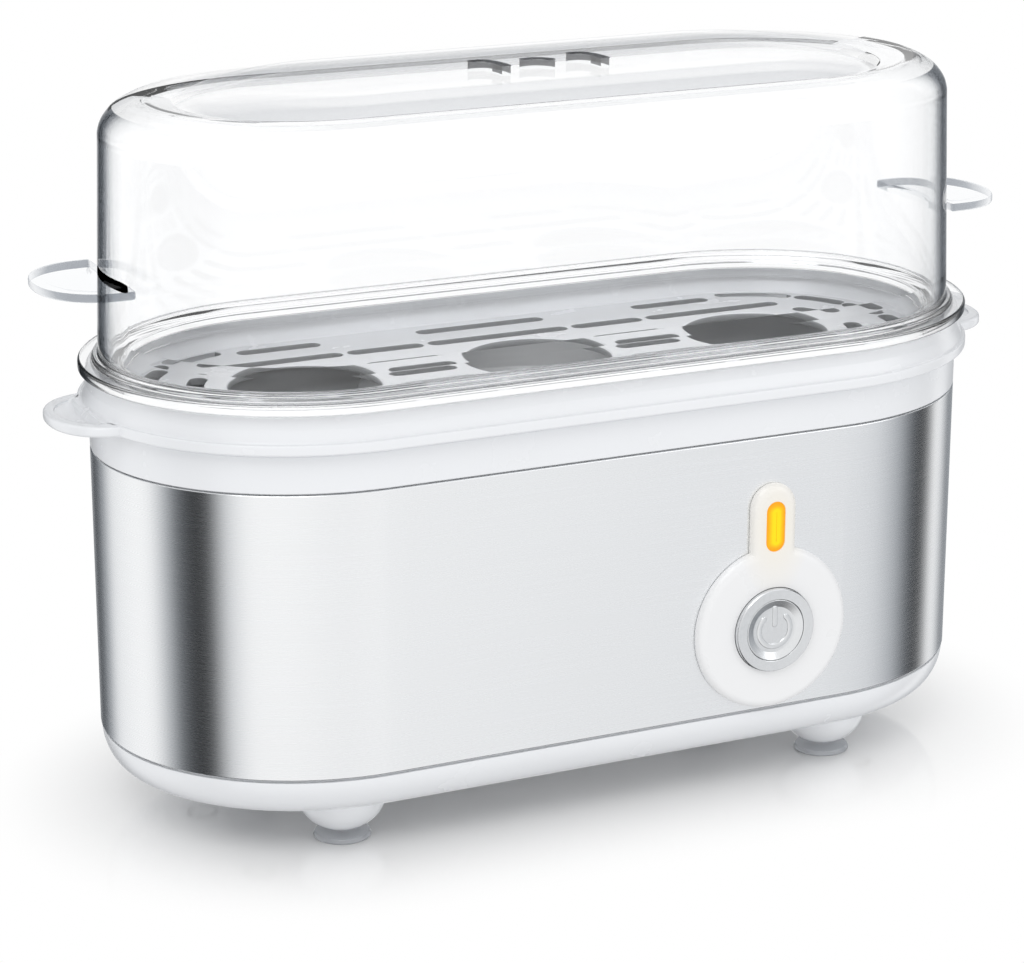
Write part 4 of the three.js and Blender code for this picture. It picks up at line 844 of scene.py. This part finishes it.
def smooth_rows(rows, steps):
    """Points of a smooth curve through rows of equal length."""
    result = []
    for k in range(len(rows) - 1):
        a = rows[max(k - 1, 0)]
        b, c = rows[k], rows[k + 1]
        d = rows[min(k + 2, len(rows) - 1)]
        for step in range(steps):
            t = step / steps
            point = []
            for p, q, r, s in zip(a, b, c, d):
                bend, twist = 2 * p - 5 * q + 4 * r - s, 3 * q - p - 3 * r + s
                point.append(0.5 * (2 * q + (r - p) * t + bend * t * t + twist * t ** 3))
            result.append(point)
    result.append(list(rows[-1]))
    return result


def lid_top_rings(drop):
    """Rings from the top of the wall to the flat of the panel; drop is the depth under the outer skin."""
    rows = []
    for across, up in smooth_rows(SHOULDER, 4):
        inset = LID_WALL_INSET + drop + across * (SHOULDER_DEPTH - 0.2 * drop)
        z = WALL_TOP - drop * 0.75 + up * (SHOULDER_RISE - 0.25 * drop)
        rows.append((STRAIGHT, END_REACH - inset, HALF_WIDTH - inset, z))
    rim_inset = LID_WALL_INSET + SHOULDER_DEPTH
    rim_reach, rim_width = END_REACH - rim_inset, HALF_WIDTH - rim_inset
    for share in (0.25, 0.5, 0.75):
        reach = rim_reach + (PANEL_REACH + 0.3 - rim_reach) * share
        width = rim_width + (PANEL_HALF_WIDTH + 0.3 - rim_width) * share
        rows.append((STRAIGHT, reach, width, WALL_TOP + SHOULDER_RISE - drop - share ** 1.5))
    for share, rise in smooth_rows(PANEL, 3):
        z = PANEL_BASE - drop + min(rise, 1) * (PANEL_TOP - PANEL_BASE)
        rows.append((share * STRAIGHT, share * PANEL_REACH, share * PANEL_HALF_WIDTH, z))
    return [ended_ring(straight, reach, width, z) for straight, reach, width, z in rows]


def vent_outline(x, shares):
    """Bent vent with square ends, 2 mm wide, along a curve with three guide points."""
    a, b, c = (Vector((x + VENT_BEND * u, VENT_BEND * v)) for u, v in shares)
    sides = ([], [])
    for k in range(25):
        t = k / 24
        p = a * (1 - t) ** 2 + b * 2 * t * (1 - t) + c * t * t
        heading = ((b - a) * (1 - t) + (c - b) * t).normalized()
        across = Vector((heading.y, -heading.x))
        sides[0].append(p + across)
        sides[1].append(p - across)
    loop = sides[0] + sides[1][::-1]
    area = sum(p.x * q.y - q.x * p.y for p, q in zip(loop, loop[1:] + loop[:1]))
    return softened(resample(loop if area > 0 else loop[::-1], 72), 2)


bm = bmesh.new()
profile = [
    (LID_WALL_INSET + LID_THICKNESS, 137.9, 0), (INNER_WALL, 100.5, 0.8), (INNER_WALL, 95.4, 0.8),
    (HOOK_INNER, 94.2, 0.5), (HOOK_INNER, HOOK_END, 0.4), (HOOK_OUTER, HOOK_END, 0.4),
    (HOOK_OUTER, LID_BOTTOM, 0.3), (FLANGE_REACH, LID_BOTTOM, 0.45), (FLANGE_REACH, FLANGE_TOP, 0.6),
    (STEP_FOOT, FLANGE_TOP, 0.35),
    (STEP_FOOT, 95.3, 0.45), (STEP_INSET, 95.3, 0.5), (STEP_INSET, 98.8, 1.2), (LID_WALL_INSET, WALL_TOP, 0),
]
rings = [oval(u, v) for u, v in filleted(profile)]
outer_top = lid_top_rings(0)
inner_top = lid_top_rings(LID_THICKNESS)
add_loft(bm, inner_top[::-1] + rings[1:-1] + outer_top)
vents = [vent_outline(-VENT_BEND, SIDE_VENT_SHARES), vent_outline(0, MIDDLE_VENT_SHARES)]
vents.append(vent_outline(VENT_BEND, SIDE_VENT_SHARES))
levels = rim_rows(PANEL_TOP - LID_THICKNESS, PANEL_TOP, VENT_EDGE)
# Row where the painted shade on the vent walls ends
levels.insert(len(levels) // 2, (0, PANEL_TOP - VENT_DARK))
for loop in vents:
    add_hole(bm, loop, levels)
for ring in (outer_top[-1], inner_top[-1]):
    add_level(bm, ring, [grown(loop, VENT_EDGE) for loop in vents])
lid = finish_piece("lid_moulding", bm, "lid_body", clear, ["lid"])

# Finger grips joined to the lid's wall: a thick rim round a dished web
GRIP_LOW, GRIP_HIGH, GRIP_EDGE = 111.6, 113.6, 0.6
GRIP_ROOT, GRIP_CENTRE, GRIP_REACH, GRIP_HALF_WIDTH = 90.9, 93.5, 13.4, 14.7
RIM_WIDTH = 2.4
RECESS_INSET, RECESS_EDGE, RECESS_TOP, RECESS_DROP = 1.06, 0.2, 113.45, 1.05
ROOT_INSET = 3.9


def wall_x(y, inset):
    return STRAIGHT / 2 + (END_REACH - inset) * math.sqrt(max(1 - (y / (HALF_WIDTH - inset)) ** 2, 0))


grips = []
for side in (-1, 1):
    bm = bmesh.new()
    outline = [Vector((GRIP_ROOT, -GRIP_HALF_WIDTH))] + tongue_end(GRIP_CENTRE, GRIP_REACH, GRIP_HALF_WIDTH)
    outline += [Vector((GRIP_ROOT, GRIP_HALF_WIDTH))]
    outline = [p for p in outline if abs(p.y) < GRIP_HALF_WIDTH - 0.01 or p.x < GRIP_ROOT + 0.1]
    outline = softened(resample(outline, 160), 2)
    outline = [Vector((max(p.x, wall_x(p.y, ROOT_INSET)), p.y)) for p in outline]
    tip = tongue_end(GRIP_CENTRE, GRIP_REACH - RIM_WIDTH, GRIP_HALF_WIDTH - RIM_WIDTH, 96)
    tip = [p for p in tip if p.x > wall_x(p.y, RECESS_INSET)]
    reach = [tip[-1].y + (tip[0].y - tip[-1].y) * k / 40 for k in range(1, 40)]
    recess = softened(resample(tip + [Vector((wall_x(y, RECESS_INSET), y)) for y in reach], 160), 8)
    place_grip = on_side(side)
    rows = rim_rows(GRIP_LOW, GRIP_HIGH, GRIP_EDGE)
    add_loft(bm, [[place_grip(p, z) for p in grown(outline, -inward)] for inward, z in rows])
    mouth = grown(recess, RECESS_EDGE)
    add_flat(bm, grown(outline, -GRIP_EDGE), [], lambda p: place_grip(p, GRIP_LOW))
    add_flat(bm, grown(outline, -GRIP_EDGE), [mouth], lambda p: place_grip(p, GRIP_HIGH))
    middle = sum(recess, Vector((0, 0))) / len(recess)
    rings = [[place_grip(p, GRIP_HIGH) for p in mouth]]
    for share in [k / 10 for k in range(10)]:
        level = RECESS_TOP - RECESS_DROP * math.sin(math.pi / 2 * min(share * 2.2, 1))
        rings.append([place_grip(p.lerp(middle, share), level) for p in recess])
    add_loft(bm, rings)
    add_fan(bm, rings[-1])
    grips.append(loose_solid("grip", bm))
combine(lid, grips, "UNION")

LID_PLASTICS = [clear, clear_top, clear_grip, vent_painted_shade, vent_wall, clear_wall]
VENT_REACH_X, VENT_REACH_Y = 18, 8
RIM_FACE, RIM_BACK = 143.5, 10


def lid_plastic(x, y, z, normal):
    """The clear plastic for a face of the lid, by its place and the way it faces."""
    past = max(abs(x) - STRAIGHT / 2, 0)
    on_panel = (past / PANEL_REACH) ** 2 + (y / PANEL_HALF_WIDTH) ** 2 < 1
    in_vents = abs(x) < VENT_REACH_X and abs(y) < VENT_REACH_Y and z > PANEL_TOP - LID_THICKNESS - 0.05
    # The upper walls of the vents, except those facing the back, take the plastic with painted shade
    if in_vents and abs(normal.z) < 0.9:
        return vent_painted_shade if z > PANEL_TOP - VENT_DARK and normal.y < 0.2 else vent_wall
    if z > WALL_TOP and on_panel or z > RIM_FACE and y > RIM_BACK:
        return clear_top
    if abs(y) < 15 and GRIP_LOW - 0.1 < z < GRIP_HIGH + 0.1 and abs(x) - 0.2 > wall_x(y, 3.1):
        return clear_grip if abs(normal.z) < 0.7 else vent_wall
    near_grip = abs(y) <= 16 and GRIP_LOW - 0.6 < z < GRIP_HIGH + 0.6
    out = Vector((math.copysign(past, x), y)).normalized()
    return clear_wall if not near_grip and out.dot(normal.xy) > 0.6 else clear


for material in LID_PLASTICS[1:]:
    lid.data.materials.append(material)
for face in lid.data.polygons:
    face.material_index = LID_PLASTICS.index(lid_plastic(*face.center / MM, face.normal))

# Keyhole bezel
BEZEL_RADIUS, STEM_HALF_WIDTH, STEM_TOP = 17.3, 5.1, 25.8
BEZEL_ROUND, BEZEL_SIDE, BEZEL_FOOT = 1.9, -41.75, -41.35
BORE_RADIUS, BORE_SEAT = 8.98, 11.5
BORE_EDGE, LENS_EDGE = 0.1, 0.08
POST_END = -36.3


def keyhole(inset, steps=120):
    """Round plate with an upright stem."""
    radius, stem = BEZEL_RADIUS - inset, STEM_HALF_WIDTH - inset
    opening = math.asin(stem / radius)
    points = []
    for k in range(steps + 1):
        angle = math.pi / 2 + opening + (2 * math.pi - 2 * opening) * k / steps
        points.append(Vector((radius * math.cos(angle), radius * math.sin(angle))))
    start = radius * math.cos(opening)
    for k in range(1, 8):
        points.append(Vector((stem, start + (STEM_TOP - start) * k / 8)))
    for k in range(33):
        angle = math.pi * k / 32
        points.append(Vector((stem * math.cos(angle), STEM_TOP + stem * math.sin(angle))))
    for k in range(1, 8):
        points.append(Vector((-stem, STEM_TOP + (start - STEM_TOP) * k / 8)))
    return points


def on_front(p, y):
    return Vector((CONTROL_X + p.x, y, CONTROL_Z + p.y))


def add_mouth(bm, loop, edge, face_y, back_y):
    """Rounded mouth of a hole in the front face, and the wall of the hole back to back_y."""
    rows = rim_rows(face_y, back_y, edge)[:5] + [(0, back_y)]
    add_loft(bm, [[on_front(p, y) for p in grown(loop, inward)] for inward, y in rows])


bm = bmesh.new()
rows = [(0.15, BEZEL_BACK), (0, BEZEL_FOOT)]
for angle in quarter_turn(16):
    level = BEZEL_SIDE + (BEZEL_FACE - BEZEL_SIDE) * math.sin(angle)
    rows.append((BEZEL_ROUND * (1 - math.cos(angle)), level))
add_loft(bm, [[on_front(p, y) for p in keyhole(inset)] for inset, y in rows])
bore = flat_circle(0, 0, BORE_RADIUS)
lens_hole = flat_capsule(0, LENS_RISE, LENS_HALF_LENGTH, 2.17, 12, upright=True)
mouths = [grown(bore, BORE_EDGE), grown(lens_hole, LENS_EDGE)]
add_flat(bm, keyhole(BEZEL_ROUND), mouths, lambda p: on_front(p, BEZEL_FACE))
add_flat(bm, keyhole(0.15), [flat_circle(0, 0, BORE_SEAT), lens_hole], lambda p: on_front(p, BEZEL_BACK))
add_mouth(bm, bore, BORE_EDGE, BEZEL_FACE, CONTROL_BACK)
add_mouth(bm, lens_hole, LENS_EDGE, BEZEL_FACE, BEZEL_BACK)
profile = [(BORE_RADIUS, CONTROL_BACK), (BORE_SEAT, CONTROL_BACK), (BORE_SEAT, BEZEL_BACK)]
add_turned(bm, profile, CONTROL_X, 0, CONTROL_Z, along_y=True)
for side in (-1, 1):
    profile = [(2.6, BEZEL_BACK), (2.6, POST_END), (1.4, POST_END), (1.4, BEZEL_BACK)]
    add_turned(bm, profile, CONTROL_X + side * POST_SPREAD, 0, CONTROL_Z, along_y=True, segments=32)
finish_piece("bezel_moulding", bm, "base_body", white_with_painted_glow, ["control_bezel"])

# Amber lens with a domed face; its map runs from 0 at the edge and the ends to 1 in the middle
LENS_HALF_WIDTH, LENS_DOME, LENS_BACK = 2.13, 0.35, -39.4
bm = bmesh.new()
edge_layer = bm.loops.layers.uv.new("edge_to_middle")
lens_loop = flat_capsule(0, LENS_RISE, LENS_HALF_LENGTH, LENS_HALF_WIDTH, 16, upright=True)
rings = [[on_front(p, y) for p in lens_loop] for y in (LENS_BACK, LENS_FACE + LENS_DOME)]
shares = [0, 0]
for step in range(1, 11):
    share = step / 10
    level = LENS_FACE + LENS_DOME * (1 - math.sin(math.pi / 2 * share))
    rings.append([on_front(p, level) for p in grown(lens_loop, -2.1 * share)])
    shares.append(share)
made = add_loft(bm, rings)
heights = {v: share for ring, share in zip(made, shares) for v in ring}
for face in bm.faces:
    for corner in face.loops:
        along = (corner.vert.co.z - CONTROL_Z - LENS_RISE) / (LENS_HALF_LENGTH + LENS_HALF_WIDTH)
        corner[edge_layer].uv = (heights[corner.vert] * (1 - 0.8 * along ** 2), 0.5)
finish_piece("lens_moulding", bm, "base_body", amber, ["indicator_lens"])

# Chrome ring
RING_INNER, RING_OUTER = 6.6, 8.9
bm = bmesh.new()
profile = [
    (RING_INNER, CONTROL_BACK, 0), (RING_OUTER, CONTROL_BACK, 0), (RING_OUTER, RING_FACE + 0.18, 0.06),
    (RING_OUTER - 0.18, RING_FACE, 0.06), (RING_INNER + 0.1, RING_FACE + 0.05, 0.05),
    (RING_INNER, RING_FACE + 0.12, 0.04),
]
profile = filleted(profile, closed=True)
add_turned(bm, profile, CONTROL_X, 0, CONTROL_Z, along_y=True, segments=160, closed=True)
finish_piece("ring_turning", bm, "base_body", chrome, ["button_ring"])

# Dished button with its raised power symbol
BUTTON_RADIUS, BUTTON_BACK, BUTTON_RIM, BUTTON_FLOOR = 6.54, -39, -44.16, -43.57
SYMBOL_HALF_WIDTH, SYMBOL_ROOT, SYMBOL_FACE, SYMBOL_EDGE = 0.55, 42.2, 43.82, 0.12
bm = bmesh.new()
profile = [
    (0.01, BUTTON_BACK, 0), (BUTTON_RADIUS, BUTTON_BACK, 0.2), (BUTTON_RADIUS, BUTTON_RIM + 0.04, 0.05),
    (6.4, BUTTON_RIM, 0.1), (4.9, BUTTON_FLOOR - 0.03, 0.3),
]
profile += [(radius, BUTTON_FLOOR, 0) for radius in (4.3, 3.5, 2.5, 1.2, 0.01)]
add_turned(bm, filleted(profile), CONTROL_X, 0, CONTROL_Z, along_y=True, segments=160)
ARC_RADIUS, BAR_RISE, BAR_HALF_LENGTH = 3.6, 2.85, 1.75
arc = flat_arc_slot(0, 0, ARC_RADIUS, SYMBOL_HALF_WIDTH, 135, 405, steps=64)
bar = flat_capsule(0, BAR_RISE, BAR_HALF_LENGTH, SYMBOL_HALF_WIDTH, upright=True)
for loop in (arc, bar):
    rows = rim_rows(SYMBOL_ROOT, SYMBOL_FACE, SYMBOL_EDGE)
    add_loft(bm, [[on_front(p, -level) for p in grown(loop, -inward)] for inward, level in rows])
    for level in (SYMBOL_ROOT, SYMBOL_FACE):
        add_flat(bm, grown(loop, -SYMBOL_EDGE), [], lambda p, level=level: on_front(p, -level))
finish_piece("button_turning", bm, "button_body", chrome, ["power_button"])

# Cord gland at the back
GLAND_BORE, GLAND_NECK, GLAND_FLANGE = 3.4, 4.8, 6.6
bm = bmesh.new()
profile = [
    (GLAND_BORE, 35.1, 0.3), (GLAND_NECK, 35.1, 0.3), (GLAND_NECK, 38.6, 0), (GLAND_FLANGE, 38.6, 0.2),
    (GLAND_FLANGE, 40.2, 0.2), (GLAND_NECK, 40.2, 0), (GLAND_NECK, 41.5, 0), (GLAND_FLANGE, 41.5, 0.2),
    (GLAND_FLANGE - 0.2, 44.3, 1), (GLAND_BORE, 44.3, 0.6),
]
add_turned(bm, filleted(profile, closed=True), GLAND_X, 0, GLAND_Z, along_y=True, closed=True)
finish_piece("gland_moulding", bm, "base_body", white, ["cord_gland"])

# Floor: keeps the shadow and a soft reflection near the part, plain white farther out
FLOOR_RADIUS, FADE_START, FADE_END = 6, 0.025, 0.07
bm = bmesh.new()
add_fan(bm, [p.to_3d() for p in flat_circle(0, 0, FLOOR_RADIUS, 64)])
mesh = bpy.data.meshes.new("floor")
bm.to_mesh(mesh)
bm.free()
floor = add_object("floor", mesh)
material, tree, shader = new_material("floor")
mesh.materials.append(material)
fill(tree, shader, {"Base Color": (1, 1, 1, 1), "Roughness": 0.05, "Specular IOR Level": 0.9})
mirror = new_node(tree, "BsdfAnisotropic", {"Roughness": 0.12})
plain = new_node(tree, "Emission", {"Strength": 1})
folded = computed(tree, "ABSOLUTE", texture_place(tree), vector=True)
past = computed(tree, "SUBTRACT", folded, (STRAIGHT / 2 * MM, 0, 0), vector=True)
beyond = computed(tree, "MAXIMUM", past, (0, 0, 0), vector=True)
distance = computed(tree, "LENGTH", beyond, vector=True)
fade = mapped(tree, distance, 0, 1, FADE_START, FADE_END, smooth=True)
glossy = mixed_shader(tree, 0.4, shader.outputs["BSDF"], mirror.outputs["BSDF"])
faded = mixed_shader(tree, fade, glossy, plain.outputs["Emission"])
rays = tree.nodes.new("ShaderNodeLightPath").outputs
see_through = tree.nodes.new("ShaderNodeBsdfTransparent").outputs["BSDF"]
seen = mixed_shader(tree, rays["Is Glossy Ray"], faded, see_through)
fill(tree, tree.nodes["Material Output"], {"Surface": seen})

# World: white to the camera and through clear plastic, soft white to matt surfaces, a studio to glossy ones
WHITE, SOFT_WHITE, SEEN_THROUGH = (1, 1, 1, 1), (0.74, 0.74, 0.74, 1), (1.06, 1.06, 1.06, 1)
OVERHEAD, UNDERFOOT = (0.95, 0.96, 0.97, 1), (0.03, 0.032, 0.035, 1)
# Rows (degrees, level): the brightness that glossy surfaces see in each direction
STUDIO = [
    (-180, 45), (-166, 100), (-156, 165), (-146, 240), (-118, 255), (-108, 250), (-97, 180), (-89, 88),
    (-78, 20), (-69, 50), (-59, 225), (-48, 255), (-30, 255), (0, 250), (22, 252), (31, 228), (50, 218),
    (66, 180), (77, 90), (85, 20), (92, 60), (101, 250), (105, 255), (112, 225), (122, 120), (138, 160),
    (150, 250), (180, 120),
]


def cool_grey(level):
    """Linear colour of a level from 0 to 255, a little blue where it is dark."""
    grey, cool = (level / 255) ** 2.2, 1 - level / 255
    return grey * (1 - 0.22 * cool), grey * (1 - 0.08 * cool), grey * (1 + 0.1 * cool)


world = bpy.data.worlds.new("studio")
bpy.context.scene.world = world
world.use_nodes = True
tree = world.node_tree
toward = new_node(tree, "SeparateXYZ", {0: texture_place(tree, "Generated")}).outputs
heading = computed(tree, "ARCTAN2", toward["X"], computed(tree, "MULTIPLY", toward["Y"], -1))
turn = mapped(tree, heading, 0, 1, -math.pi, math.pi)
screens = tinted(tree, turn, [((degrees + 180) / 360, cool_grey(level)) for degrees, level in STUDIO])
rays = tree.nodes.new("ShaderNodeLightPath").outputs
studio = blended(tree, mapped(tree, toward["Z"], 0, 1, 0.45, 0.8), screens, OVERHEAD)
studio = blended(tree, mapped(tree, toward["Z"], 1, 0, -0.85, -0.6), studio, UNDERFOOT)
light = blended(tree, rays["Is Glossy Ray"], SOFT_WHITE, studio)
light = blended(tree, rays["Is Transmission Ray"], light, SEEN_THROUGH)
scattered = blended(tree, rays["Is Transmission Ray"], SOFT_WHITE, WHITE)
light = blended(tree, rays["Diffuse Depth"], light, scattered)
light = blended(tree, rays["Is Camera Ray"], light, WHITE)
fill(tree, tree.nodes["Background"], {"Color": light, "Strength": 1})


# Soft lamps
def soft_lamp(name, place, aim, size, power):
    data = bpy.data.lights.new(name, "AREA")
    data.shape = "RECTANGLE"
    data.size, data.size_y = size
    data.energy = power
    lamp = add_object(name, data)
    lamp.location = place
    lamp.rotation_euler = (Vector(aim) - Vector(place)).to_track_quat("-Z", "Y").to_euler()


soft_lamp("key", (-0.5, -0.6, 1.1), (0, 0, 0.05), (0.7, 0.7), 4.1)
soft_lamp("fill", (0.9, -0.9, 0.6), (0, 0, 0.06), (0.8, 0.8), 2.1)

bpy.context.scene.view_settings.view_transform = "Standard"
